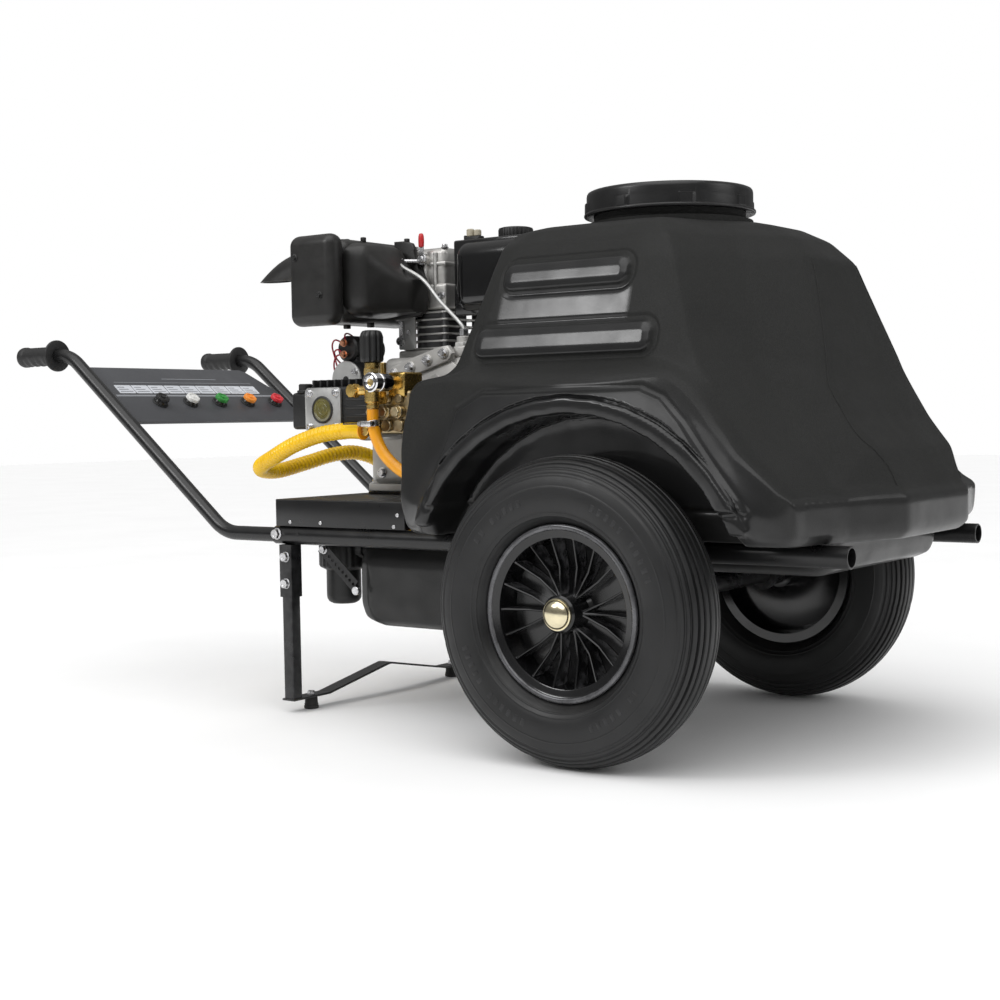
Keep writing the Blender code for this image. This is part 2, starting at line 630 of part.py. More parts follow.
def make_muffler():
    low, high = MUFFLER
    body = box("muffler", low, high, EXHAUST, 0.02, 2)
    ring_a = [(high[0] - 0.004, y, z) for y, z in ((-0.115, 0.608), (0.010, 0.613), (0.010, 0.718),
                                                  (-0.115, 0.728))]
    ring_b = [(high[0] + 0.024, y, z) for y, z in ((-0.108, 0.614), (-0.010, 0.620), (-0.010, 0.700),
                                                  (-0.108, 0.720))]
    union(body, loft("duct", [ring_a, ring_b], EXHAUST))
    neck = [[(high[0] + 0.015, y, z) for y, z in ((-0.05, 0.625), (-0.008, 0.625), (-0.008, 0.69),
                                                 (-0.05, 0.69))],
            [(high[0] + 0.058, y, z) for y, z in ((-0.012, 0.628), (0.0110, 0.628), (0.0110, 0.672),
                                                 (-0.012, 0.672))]]
    union(body, loft("neck", neck, EXHAUST))
    union(body, box("flange", (-0.106, 0.0045, 0.618), (-0.060, 0.0125, 0.670), EXHAUST, 0.002))
    elbow = filleted(((low[0] + 0.01, -0.085, 0.703), (-0.295, -0.085, 0.703),
                      (-0.305, -0.085, 0.676)), 0.016)
    union(body, swept("elbow", elbow, 0.019, EXHAUST, 0.0165))
    box("muffler_cover", (low[0] - 0.005, low[1] - 0.036, low[2] - 0.005),
        (high[0] + 0.005, low[1] - GAP, high[2] + 0.005), EXHAUST, 0.016, 2)


def make_fuel_tank():
    box("fuel_tank", (0.0150, -0.0180, 0.608), (0.168, 0.185, 0.727), PAINT, 0.022, 2)
    cap = ((0, 0), (0.0275, 0), (0.0275, 0.014), (0.0255, 0.0175), (0, 0.0185))
    turned("fuel_cap", cap, BLACK_PLASTIC, (*FUEL_CAP, 0.727 + GAP), steps=24)


def make_air_cleaner():
    box("air_cleaner", (0.082, 0.02, 0.505), (0.160, 0.15, 0.598), BLACK_PLASTIC, 0.018, 2)


def make_controls():
    box("speed_plate", (-0.1068, 0.0040, 0.5605), (-0.0725, 0.0068, 0.6165), STEEL)
    lever = box("speed_lever", (-0.1030, -0.0005, 0.566), (-0.0960, 0.0022, 0.606), STEEL,
                origin=(-0.0995, 0, 0.574))
    union(lever, cylinder("pivot", (-0.0995, -0.0045, 0.574), (-0.0995, 0.0036, 0.574), 0.0065, STEEL, 16))


def make_starter():
    starter = cylinder("starter_motor", (-0.1265, -0.105, 0.5115), (-0.1265, 0.0, 0.5115), 0.0298,
                       IRON, 24)
    union(starter, cylinder("solenoid", (-0.1365, -0.090, 0.561), (-0.1365, -0.018, 0.561), 0.021,
                            IRON, 16),
          box("saddle", (-0.150, -0.085, 0.535), (-0.120, -0.025, 0.55), IRON))


def make_injection_pipe():
    route = ((-0.083, -0.0160, 0.7000), (-0.078, -0.0240, 0.6950), (-0.0666, -0.0290, 0.6880),
             (-0.0276, -0.0300, 0.6665), (0.0070, -0.0300, 0.6300), (0.0400, -0.0300, 0.6000),
             (0.0510, -0.0300, 0.5870), (0.0520, -0.0300, 0.5767))
    hose("injection_pipe", route, 0.006, STEEL)


# ---------------------------------------------------------------- pump group

def make_pump():
    face = PUMP_FACE
    pipe("pump_flange", (CRANK_X, -0.1317, CRANK_Z), (CRANK_X, -0.0585, CRANK_Z), 0.046, 0.036,
         ALUMINIUM, 24)
    body = box("pump_body", (-0.1005, face + 0.0005, 0.427), (0.019, -0.132, 0.498), BLACK_PLASTIC, 0.004)
    union(body, box("rear", (-0.1375, face + 0.004, 0.435), (-0.09, -0.14, 0.491), BLACK_PLASTIC, 0.005))
    for i in range(7):
        x = -0.092 + i * 0.0145
        union(body, box("fin", (x, face + 0.006, 0.49), (x + 0.0045, -0.136, 0.509), BLACK_PLASTIC))
    cut(body, cylinder("socket", (CRANK_X, -0.172, CRANK_Z), (CRANK_X, -0.12, CRANK_Z), 0.0125,
                       BLACK_PLASTIC, 20))
    plate_low = (-0.101, face - 0.0040, 0.431)
    plate_high = (-0.0305, face, 0.497)
    plate = box("pump_side_plate", plate_low, plate_high, ALUMINIUM)
    centre = (CRANK_X - 0.0015, 0.464)
    cut(plate, cylinder("window", (centre[0], face - 0.01, centre[1]), (centre[0], face + 0.01, centre[1]),
                        0.0112, ALUMINIUM, 24))
    cylinder("sight_glass", (centre[0], face - 0.0030, centre[1]), (centre[0], face + 0.0002, centre[1]),
             0.0108, GLASS, 24)


def make_pump_head():
    """The brass manifold, with the outlet spigot and the suction elbow that belong to it."""
    face = PUMP_FACE
    head = box("pump_head", (0.0195, face, 0.4265), (0.095, -0.14, 0.490), BRASS, 0.005, 2)
    x, z = OUTLET
    union(head, box("outlet_block", (x - 0.014, face, 0.48), (x + 0.018, -0.18, 0.516), BRASS, 0.003),
          cylinder("spigot", (x, -0.2750, z), (x, face + 0.004, z), 0.0095, BRASS, 20),
          cylinder("elbow", (0.0335, -0.2475, SUCTION_Z), (0.0335, face + 0.004, SUCTION_Z), 0.0070,
                   BRASS, 16),
          cylinder("barb", (0.0262, -0.2405, SUCTION_Z), (0.0345, -0.2405, SUCTION_Z), 0.0068, BRASS, 12))
    cut(head, cylinder("socket", (x, -0.28, z), (x, -0.245, z), 0.0066, BRASS, 20))
    pipe("outlet_collar", (x, -0.2785, z), (x, -0.2385, z), 0.0125, 0.0099, CHROME, 24)


def make_unloader():
    x, y = UNLOADER
    body = cylinder("unloader_body", (x, y, 0.4645), (x, y, 0.5305), 0.0085, BRASS, 16)
    union(body, box("boss", (x - 0.009, y, 0.470), (x + 0.008, PUMP_FACE - GAP, 0.489), BRASS, 0.002),
          cylinder("arm", (x - 0.036, y, 0.4903), (x, y, 0.4903), 0.007, BRASS, 12),
          cylinder("hex", (x - 0.0324, y - 0.0105, 0.4903), (x - 0.0324, y, 0.4903), 0.0095, BRASS, 6))
    knob = ((0, 0), (0.0155, 0), (0.0170, 0.003), (0.0170, 0.036), (0.0140, 0.0445), (0, 0.0455))
    turned("unloader_knob", knob, BLACK_PLASTIC, (x, y, 0.5305 + GAP), steps=24)


def make_filter():
    x, y = FILTER
    z = FILTER_PORT_Z
    profile = ((0, 0), (0.0215, 0), (0.0270, 0.006), (0.0270, 0.053), (0.0360, 0.057), (0.0380, 0.063),
               (0.0380, 0.090), (0.0340, 0.098), (0, 0.098))
    body = turned("water_filter", profile, BLACK_PLASTIC, (x, y, z - 0.085), steps=24)
    union(body, cylinder("outlet", (x, y, z), (x, FILTER_OUTLET_Y, z), 0.0095, BLACK_PLASTIC, 16),
          cylinder("inlet", (x, y, z), (AXLE_X + SUMP[0][0] - GAP, y, z), 0.0095, BLACK_PLASTIC, 16))


# ---------------------------------------------------------------- water tank

def tank_ring(level, inset):
    """One level of the moulded body as a closed ring of points, symmetric about Y = 0."""
    z, front, half, turn, rear_x, rear_y = level
    front = front + inset
    half = half - inset
    turn = turn - inset * 0.6
    rear_x = rear_x - inset
    middle_x = (turn + rear_x) / 2 - FACET_HOLLOW * 0.5
    middle_y = (half + rear_y) / 2 - FACET_HOLLOW
    half_ring = (
        (front, 0.05), (front, half * 0.55), (front, half - TANK_CORNER),
        (front + TANK_CORNER * 0.3, half - TANK_CORNER * 0.3),
        (front + TANK_CORNER, half), (-0.02, half), (turn - 0.035, half), (turn, half - 0.008),
        (middle_x, middle_y), (rear_x - 0.006, rear_y + 0.008), (rear_x, rear_y - 0.006),
        (rear_x, 0.03),
    )
    points = [(AXLE_X + x, y, z) for x, y in half_ring]
    return points + [(x, -y, z) for x, y, z in reversed(points)]


def tank_body(name, inset):
    levels = [list(level) for level in TANK_LEVELS]
    levels[0][0] += inset
    levels[-1][0] -= inset
    return loft(name, [tank_ring(level, inset) for level in levels], TANK_PLASTIC)


def tank_solid(name, inset):
    """The tank's outer volume, or with an inset the space inside its wall."""
    body = tank_body(name, inset)
    for side in SIDES.values():
        radius = FENDER_R - inset
        start = radians(22) + 6 * inset
        arc = [(AXLE_X + radius * cos(start + (pi - 2 * start) * i / 14),
                AXLE_Z + radius * sin(start + (pi - 2 * start) * i / 14)) for i in range(15)]
        low, high = sorted((side * 0.2, side * (FENDER_Y - inset)))
        union(body, prism("fender", arc, low, high, TANK_PLASTIC))
    sump_low, sump_high = SUMP
    union(body, box("sump", (AXLE_X + sump_low[0] + inset, sump_low[1] + inset, sump_low[2] + inset),
                    (AXLE_X + sump_high[0] - inset, sump_high[1] - inset, sump_high[2] - inset),
                    TANK_PLASTIC, 0.035, 2))
    union(body, box("throat", (AXLE_X - 0.2700 + inset, -0.176 + inset, 0.20),
                    (AXLE_X - 0.0640 - inset, 0.176 - inset, 0.31), TANK_PLASTIC))
    keel_low, keel_high = KEEL
    union(body, box("keel", (AXLE_X + keel_low[0] + inset, keel_low[1] + inset, keel_low[2] + inset),
                    (AXLE_X + keel_high[0] - inset, keel_high[1] - inset, keel_high[2]),
                    TANK_PLASTIC, 0.03, 2))
    neck = ((0, 0.695), (0.1205, 0.695), (0.1160, 0.7185), (NECK_R, 0.7190), (NECK_R, NECK_TOP),
            (0, NECK_TOP))
    if inset:
        neck = ((0, 0.690), (NECK_BORE, 0.690), (NECK_BORE, NECK_TOP + 0.01), (0, NECK_TOP + 0.01))
    union(body, turned("neck", neck, TANK_PLASTIC, (NECK_X, 0, 0), steps=NECK_STEPS))
    for side in SIDES.values():
        cutter = cylinder("arch", (AXLE_X, side * (ARCH_Y - inset), AXLE_Z),
                          (AXLE_X, side * 0.42, AXLE_Z), ARCH_R + inset, TANK_PLASTIC, 36)
        cut(body, cutter)
    return body


def make_tank():
    tank = tank_solid("water_tank", 0.0)
    cut(tank, tank_solid("inside", TANK_WALL))


def make_lid():
    seal_low = NECK_TOP + GAP
    pipe("lid_seal", (NECK_X, 0, seal_low), (NECK_X, 0, seal_low + 0.002), 0.1075, NECK_BORE + 0.0005,
         RUBBER, NECK_STEPS)
    base = seal_low + 0.002 + GAP
    profile = ((0, base), (0.1095, base), (0.1110, base - 0.004), (0.1110, 0.7300), (LID_R, 0.7300),
               (LID_R, LID_TOP - 0.006), (0.1180, LID_TOP), (0.1060, LID_TOP),
               (0.1030, LID_TOP - 0.009), (0, LID_TOP - 0.0105))
    turned("tank_lid", profile, BLACK_PLASTIC, (NECK_X, 0, 0), steps=NECK_STEPS)


def main():
    for item in list(bpy.data.objects):
        bpy.data.objects.remove(item)
    make_wheels()
    make_axle_brackets()
    make_chassis()
    make_stand()
    make_handles()
    make_panel()
    make_tray()
    make_crankcase()
    make_crankshaft()
    make_fan_housing()
    make_recoil_handle()
    make_cylinder_and_head()
    make_decompression_lever()
    make_muffler()
    make_fuel_tank()
    make_air_cleaner()
    make_controls()
    make_starter()
    make_injection_pipe()
    make_pump()
    make_pump_head()
    make_unloader()
    make_filter()
    hose("suction_hose", SUCTION_ROUTE, SUCTION_D, SUCTION_YELLOW)
    hose("bypass_hose", BYPASS_ROUTE, BYPASS_D, BYPASS_ORANGE)
    make_tank()
    make_lid()


main()
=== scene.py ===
"""Looks for the wheeled pressure washer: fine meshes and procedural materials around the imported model."""

from math import atan2, cos, exp, hypot, pi, radians, sin

import bmesh
import bpy
import numpy as np
from mathutils import Matrix, Vector
from mathutils.bvhtree import BVHTree


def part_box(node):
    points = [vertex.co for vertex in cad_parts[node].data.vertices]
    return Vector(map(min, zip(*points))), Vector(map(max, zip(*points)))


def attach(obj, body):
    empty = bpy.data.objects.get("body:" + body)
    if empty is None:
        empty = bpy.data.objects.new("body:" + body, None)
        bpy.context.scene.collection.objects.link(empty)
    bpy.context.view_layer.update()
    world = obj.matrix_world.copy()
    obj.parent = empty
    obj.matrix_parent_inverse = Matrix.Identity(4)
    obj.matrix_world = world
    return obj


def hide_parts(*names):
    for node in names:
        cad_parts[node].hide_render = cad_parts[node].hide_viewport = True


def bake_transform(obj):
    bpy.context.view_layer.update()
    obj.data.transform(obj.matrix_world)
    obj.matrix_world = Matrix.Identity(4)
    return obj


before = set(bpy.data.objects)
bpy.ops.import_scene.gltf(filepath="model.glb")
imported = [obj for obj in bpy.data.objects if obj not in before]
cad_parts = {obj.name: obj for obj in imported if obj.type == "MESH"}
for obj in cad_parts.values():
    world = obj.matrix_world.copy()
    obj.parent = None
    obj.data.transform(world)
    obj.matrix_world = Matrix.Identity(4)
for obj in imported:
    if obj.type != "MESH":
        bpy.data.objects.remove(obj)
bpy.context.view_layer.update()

# Metres and radians throughout. X runs from the grips to the tank, Z is up, the pump is on the -Y side.
SIDES = {"near": -1, "far": 1}
AXLE_X, AXLE_Z = 0.4355, 0.2
WHEEL_Y = 0.31
BLOCK_R = 0.1475                # where the blank blocks stand on the tyre's side
TUBE_Y, TUBE_Z, TUBE_R = 0.217, 0.2737, 0.014
CRANK_X, CRANK_Z = -0.0645, 0.462
PUMP_FACE = -0.2225
OUTLET_X, OUTLET_Z = 0.072, 0.501
NECK_X = AXLE_X - 0.034

NOZZLES = {
    "black": (0.012, 0.012, 0.012), "white": (0.75, 0.75, 0.73), "green": (0.035, 0.3, 0.05),
    "orange": (0.82, 0.27, 0.03), "red": (0.62, 0.028, 0.04)}

CAMERA_AT = (1.5523, -1.9913, 0.4461)
CAMERA_TURN = (36.224, -2.914, -0.931)      # yaw, pitch and roll in degrees
CAMERA_LENS = 57.3

# Routes of the two hoses, as in the model
SUCTION_D = 0.025
SUCTION_ROUTE = (
    (0.0258, -0.2405, 0.4318), (-0.0095, -0.2405, 0.4321), (-0.06, -0.2405, 0.4267),
    (-0.1163, -0.237, 0.412), (-0.1725, -0.223, 0.393), (-0.225, -0.197, 0.379), (-0.259, -0.158, 0.37),
    (-0.27, -0.11, 0.368), (-0.267, -0.05, 0.3785), (-0.256, 0.003, 0.3904), (-0.246, 0.05, 0.393),
    (-0.234, 0.096, 0.378), (-0.222, 0.132, 0.344), (-0.206, 0.144, 0.302), (-0.187, 0.127, 0.262),
    (-0.164, 0.085, 0.239), (-0.136, 0.04, 0.237), (-0.118, -0.005, 0.244), (-0.1082, -0.036, 0.2488),
    (-0.108, -0.0652, 0.249),
)
BYPASS_D = 0.017
BYPASS_ROUTE = (
    (0.049, -0.2455, 0.463), (0.049, -0.2455, 0.444), (0.054, -0.245, 0.422), (0.068, -0.244, 0.398),
    (0.088, -0.242, 0.38), (0.108, -0.24, 0.3695), (0.1278, -0.239, 0.368),
)


# ---------------------------------------------------------------- materials

class Nodes:
    """Short names for adding and linking shader nodes."""

    def __init__(self, name):
        self.material = bpy.data.materials.new(name)
        self.material.use_nodes = True
        self.tree = self.material.node_tree
        self.shader = self.tree.nodes["Principled BSDF"]
        self.at = self.add("ShaderNodeTexCoord").outputs["Object"]

    def add(self, kind, **settings):
        node = self.tree.nodes.new(kind)
        for key, value in settings.items():
            setattr(node, key, value)
        return node

    def link(self, source, target):
        self.tree.links.new(source, target)

    def noise(self, scale, detail=4.0):
        node = self.add("ShaderNodeTexNoise")
        node.inputs["Scale"].default_value = scale
        node.inputs["Detail"].default_value = detail
        node.inputs["Roughness"].default_value = 0.55
        self.link(self.at, node.inputs["Vector"])
        return node.outputs["Fac"]

    def ranged(self, value, low, high, to_low, to_high):
        node = self.add("ShaderNodeMapRange")
        for key, number in zip(("From Min", "From Max", "To Min", "To Max"), (low, high, to_low, to_high)):
            node.inputs[key].default_value = number
        self.link(value, node.inputs["Value"])
        return node.outputs["Result"]

    def maths(self, operation, a, b):
        node = self.add("ShaderNodeMath", operation=operation, use_clamp=True)
        for socket, value in zip(node.inputs, (a, b)):
            self.link(value, socket)
        return node.outputs["Value"]

    def mix(self, factor, a, b):
        node = self.add("ShaderNodeMix", data_type="RGBA")
        self.link(factor, node.inputs["Factor"])
        for key, value in (("A", a), ("B", b)):
            socket = [s for s in node.inputs if s.name == key and s.type == "RGBA"][0]
            if isinstance(value, tuple):
                socket.default_value = (*value, 1.0)
            else:
                self.link(value, socket)
        return [s for s in node.outputs if s.type == "RGBA"][0]

    def bump(self, height, strength, distance, normal=None):
        node = self.add("ShaderNodeBump")
        node.inputs["Strength"].default_value = strength
        node.inputs["Distance"].default_value = distance
        self.link(height, node.inputs["Height"])
        if normal:
            self.link(normal, node.inputs["Normal"])
        return node.outputs["Normal"]


def scaled(colour, factor):
    return tuple(min(1.0, c * factor) for c in colour)


def surface(name, colour, rough, metallic=0.0, mottle=0.18, spread=14, grain=600,
            depth=5e-5, dents=0.0, edge_wear_and_sheen=None, wear_at=0.56, dust=0.0, level=0.5, coat=0.0):
    """A moulded, painted or metal surface: mottled colour, uneven gloss, fine grain, lighter edges and dust. The
    lighter edges are wear, and on the rim and its lip also a painted highlight.
    """
    n = Nodes(name)
    n.shader.inputs["Metallic"].default_value = metallic
    n.shader.inputs["Specular IOR Level"].default_value = level
    n.shader.inputs["Coat Weight"].default_value = coat
    n.shader.inputs["Coat Roughness"].default_value = 0.08
    patches = n.ranged(n.noise(spread, 5.0), 0.3, 0.7, 0.0, 1.0)
    tone = n.mix(patches, scaled(colour, 1 - mottle), scaled(colour, 1 + mottle))
    # Lighter colour on sharp edges: wear, and for the rim and its lip partly a painted highlight
    if edge_wear_and_sheen:
        edge = n.ranged(n.add("ShaderNodeNewGeometry").outputs["Pointiness"], wear_at, wear_at + 0.06, 0.0,
                        1.0)
        broken = n.ranged(n.noise(90.0, 3.0), 0.35, 0.65, 0.0, 0.9)
        tone = n.mix(n.maths("MULTIPLY", edge, broken), tone, edge_wear_and_sheen)
    if dust:
        up = n.add("ShaderNodeSeparateXYZ")
        n.link(n.add("ShaderNodeNewGeometry").outputs["Normal"], up.inputs[0])
        lying = n.ranged(up.outputs["Z"], 0.2, 1.0, 0.0, dust)
        tone = n.mix(n.maths("MULTIPLY", lying, n.ranged(n.noise(30.0), 0.35, 0.7, 0.3, 1.0)), tone,
                     (0.36, 0.34, 0.31))
    n.link(tone, n.shader.inputs["Base Color"])
    gloss = n.ranged(n.noise(spread * 2.2, 4.0), 0.3, 0.7, rough * 0.84, min(1.0, rough * 1.18))
    n.link(gloss, n.shader.inputs["Roughness"])
    normal = n.bump(n.noise(grain, 2.0), 0.6, depth)
    if dents:
        normal = n.bump(n.noise(45.0, 3.0), 0.7, dents, normal)
    n.link(normal, n.shader.inputs["Normal"])
    return n.material


def tank_surface():
    """Rotomoulded plastic: dull and grained, with glossy zones given by the mesh's own 'polish' value."""
    n = Nodes("tank_plastic")
    n.shader.inputs["Specular IOR Level"].default_value = 0.17
    n.shader.inputs["Coat Roughness"].default_value = 0.16
    polish = n.add("ShaderNodeAttribute", attribute_name="polish").outputs["Fac"]
    patches = n.ranged(n.noise(5.0, 6.0), 0.3, 0.7, 0.0, 1.0)
    tone = n.mix(patches, (0.012, 0.012, 0.0114), (0.017, 0.0172, 0.0164))
    specks = n.ranged(n.noise(900.0, 2.0), 0.42, 0.68, 0.0, 0.55)
    tone = n.mix(specks, tone, (0.03, 0.0306, 0.0298))
    tone = n.mix(polish, tone, (0.006, 0.006, 0.0063))
    n.link(tone, n.shader.inputs["Base Color"])
    n.link(n.ranged(n.noise(22.0, 4.0), 0.3, 0.7, 0.46, 0.56), n.shader.inputs["Roughness"])
    scuffs = n.ranged(n.noise(26.0, 5.0), 0.3, 0.7, 0.6, 1.0)
    n.link(n.maths("MULTIPLY", polish, scuffs), n.shader.inputs["Coat Weight"])
    quiet = n.ranged(polish, 0.0, 1.0, 1.0, 0.1)
    grain = n.maths("MULTIPLY", n.noise(620.0, 2.0), quiet)
    normal = n.bump(grain, 0.75, 0.0007)
    normal = n.bump(n.noise(9.0, 2.0), 0.35, 0.0022, normal)
    n.link(normal, n.shader.inputs["Normal"])
    return n.material


def hose_surface(name, colour, dark, rough):
    """Translucent-looking coloured PVC, a little darker and dirtier in patches."""
    n = Nodes(name)
    n.shader.inputs["Specular IOR Level"].default_value = 0.5
    n.shader.inputs["Subsurface Weight"].default_value = 0.05
    n.shader.inputs["Subsurface Radius"].default_value = (0.004, 0.003, 0.001)
    tone = n.mix(n.ranged(n.noise(16.0, 4.0), 0.3, 0.72, 0.0, 1.0), colour, dark)
    n.link(tone, n.shader.inputs["Base Color"])
    n.link(n.ranged(n.noise(60.0, 3.0), 0.3, 0.7, rough * 0.8, rough * 1.3), n.shader.inputs["Roughness"])
    n.link(n.bump(n.noise(350.0, 2.0), 0.4, 0.0001), n.shader.inputs["Normal"])
    return n.material


def make_finishes():
    finishes = {
        "paint": surface("black_powder_coat", (0.0062, 0.0062, 0.0066), 0.3, grain=1500, depth=8e-5,
                edge_wear_and_sheen=(0.06, 0.06, 0.062), wear_at=0.6, dust=0.02),
        "panel": surface("panel_paint", (0.064, 0.066, 0.072), 0.4, mottle=0.06, grain=1800, depth=3e-5),
        "print": surface("panel_print", (0.62, 0.64, 0.68), 0.42, mottle=0.05, grain=1500, depth=2e-5),
        "print_grey": surface("panel_print_grey", (0.27, 0.28, 0.3), 0.42, mottle=0.05, grain=1500,
                depth=2e-5),
        "tank": tank_surface(),
        "lid": surface("lid_plastic", (0.0085, 0.0085, 0.0088), 0.33, mottle=0.25, grain=800,
                depth=0.00012, edge_wear_and_sheen=(0.07, 0.07, 0.072), wear_at=0.57, dust=0.03),
        # Rim: the light grey on its sharp rib edges is a painted highlight, not wear
        "rim": surface("rim_gloss", (0.005, 0.005, 0.0054), 0.17, mottle=0.3, grain=900, depth=2e-5,
                edge_wear_and_sheen=(0.25, 0.25, 0.26), wear_at=0.585, level=0.6),
        # Rim lip: the grey base and lighter edges are partly wear and partly a painted reflection on the
        # polished black lip
        "lip": surface("rim_lip_worn", (0.085, 0.085, 0.09), 0.26, metallic=0.35, mottle=0.55, spread=30,
                grain=500, depth=8e-5, edge_wear_and_sheen=(0.4, 0.4, 0.41), wear_at=0.54, level=0.7),
        "tyre": surface("tyre_rubber", (0.006, 0.0061, 0.0065), 0.46, mottle=0.3, spread=11, grain=420,
                depth=0.00012, edge_wear_and_sheen=(0.035, 0.035, 0.037), wear_at=0.545, dust=0.05),
        "grip": surface("grip_rubber", (0.0105, 0.0105, 0.0108), 0.55, grain=900, depth=0.00012,
                dust=0.04),
        "foot": surface("foot_rubber", (0.028, 0.027, 0.026), 0.7, grain=500, depth=0.0002, dust=0.06),
        "seal": surface("seal_rubber", (0.012, 0.012, 0.012), 0.6, grain=900, depth=5e-5),
        "brass": surface("brass", (0.62, 0.42, 0.13), 0.27, metallic=1, mottle=0.28, spread=45,
                grain=300, depth=8e-5, dents=0.0002, edge_wear_and_sheen=(0.9, 0.74, 0.4), wear_at=0.56),
        "dark_brass": surface("cast_brass", (0.4, 0.32, 0.19), 0.36, metallic=1, mottle=0.45, spread=60,
                grain=260, depth=0.0003, dents=0.0006, edge_wear_and_sheen=(0.85, 0.74, 0.5), wear_at=0.56),
        "hub": surface("hub_brass", (0.8, 0.72, 0.5), 0.2, metallic=1, mottle=0.12, spread=60, grain=700,
                depth=3e-5),
        "zinc": surface("zinc_plate", (0.66, 0.66, 0.67), 0.27, metallic=1, mottle=0.14, spread=80,
                grain=700, depth=5e-5),
        "plate": surface("machined_plate", (0.5, 0.5, 0.49), 0.42, metallic=0.85, mottle=0.08, spread=50,
                grain=1200, depth=5e-5),
        "chrome": surface("chrome", (0.82, 0.82, 0.83), 0.07, metallic=1, mottle=0.04, grain=300,
                depth=1e-5),
        "dark_chrome": surface("dark_chrome", (0.1, 0.1, 0.105), 0.16, metallic=1, mottle=0.2, grain=300,
                depth=1e-5),
        "cast": surface("cast_aluminium", (0.56, 0.55, 0.53), 0.44, metallic=0.9, mottle=0.16, spread=38,
                grain=330, depth=0.0004, dents=0.0003, edge_wear_and_sheen=(0.85, 0.85, 0.83), wear_at=0.56, dust=0.05),
        "case": surface("crankcase_casting", (0.5, 0.49, 0.47), 0.5, metallic=0.55, mottle=0.1,
                spread=30, grain=420, depth=0.0003, edge_wear_and_sheen=(0.75, 0.75, 0.73), wear_at=0.57, dust=0.05),
        "iron": surface("cast_iron", (0.11, 0.11, 0.112), 0.5, metallic=0.8, mottle=0.25, grain=300,
                depth=0.0004),
        "motor": surface("starter_paint", (0.011, 0.011, 0.011), 0.42, grain=600, depth=0.0002,
                edge_wear_and_sheen=(0.12, 0.12, 0.12), wear_at=0.58),
        "exhaust": surface("exhaust_paint", (0.0115, 0.011, 0.0104), 0.4, mottle=0.22, spread=20,
                grain=900, depth=0.00015, edge_wear_and_sheen=(0.09, 0.085, 0.08), wear_at=0.57, dust=0.06),
        "fuel": surface("fuel_tank_paint", (0.0045, 0.0045, 0.0048), 0.16, mottle=0.2, grain=700,
                depth=4e-5, dust=0.03, coat=0.5),
        "black": surface("black_moulding", (0.0085, 0.0085, 0.0085), 0.45, grain=700, depth=0.00015,
                edge_wear_and_sheen=(0.06, 0.06, 0.06), wear_at=0.57, dust=0.04),
        "pump": surface("pump_black", (0.0085, 0.0085, 0.0088), 0.42, grain=420, depth=0.0003,
                edge_wear_and_sheen=(0.1, 0.1, 0.1), wear_at=0.57, dust=0.03),
        "oil": surface("oil_glass", (0.105, 0.095, 0.03), 0.12, mottle=0.35, spread=90, grain=200,
                depth=5e-5, coat=1),
        # Near-black colour for holes, vents and slots: painted shade standing in for their dark insides
        "hole": surface("painted_shade_in_holes", (0.004, 0.004, 0.004), 0.6, grain=400, depth=0.0001),
        "red": surface("red_plastic", (0.5, 0.018, 0.022), 0.32, mottle=0.15, grain=700, depth=6e-5),
        "wire": surface("red_wire", (0.33, 0.012, 0.03), 0.4, mottle=0.2, grain=700, depth=6e-5),
        "copper": surface("copper", (0.72, 0.36, 0.22), 0.3, metallic=1, mottle=0.25, grain=400,
                depth=0.0001),
        "beige": surface("beige_plug", (0.42, 0.38, 0.29), 0.45, mottle=0.15, grain=600, depth=0.0001),
        "yellow": hose_surface("suction_hose_yellow", (0.93, 0.58, 0.004), (0.66, 0.38, 0.003), 0.24),
        "orange": hose_surface("bypass_hose_orange", (0.9, 0.4, 0.008), (0.7, 0.27, 0.006), 0.3),
                        }
    for colour, tone in NOZZLES.items():
        name = f"nozzle_{colour}"
        mottle = 0.05 if colour == "white" else 0.18
        finishes[name] = surface(name, tone, 0.3, mottle=mottle, grain=800, depth=6e-5)
    return finishes


# ---------------------------------------------------------------- meshes

def add(bm, part, place=None):
    """Puts one bmesh into another and frees it."""
    bmesh.ops.recalc_face_normals(part, faces=part.faces)
    if place:
        part.transform(place)
    held = bpy.data.meshes.new("held")
    part.to_mesh(held)
    part.free()
    bm.from_mesh(held)
    bpy.data.meshes.remove(held)
    return bm


def axis_matrix(axis, centre=(0, 0, 0)):
    """Turns +Z to the given axis and moves the origin to the centre."""
    turn = Vector((0, 0, 1)).rotation_difference(Vector(axis)).to_matrix().to_4x4()
    return Matrix.Translation(Vector(centre)) @ turn


def upright(x, y, z):
    """A plane that stands along X and faces -Y, for outlines given as (x, z)."""
    return Matrix(((1, 0, 0, x), (0, 0, -1, y), (0, 1, 0, z), (0, 0, 0, 1)))


def box(bm, low, high, bevel=0.0, steps=3, place=None):
    part = bmesh.new()
    bmesh.ops.create_cube(part, size=1.0)
    low, high = Vector(low), Vector(high)
    part.transform(Matrix.Translation((low + high) / 2) @ Matrix.Diagonal((*(high - low), 1.0)))
    if bevel:
        bmesh.ops.bevel(part, geom=part.edges[:], offset=bevel, segments=steps, profile=0.5,
                        affect="EDGES", clamp_overlap=True)
    return add(bm, part, place)


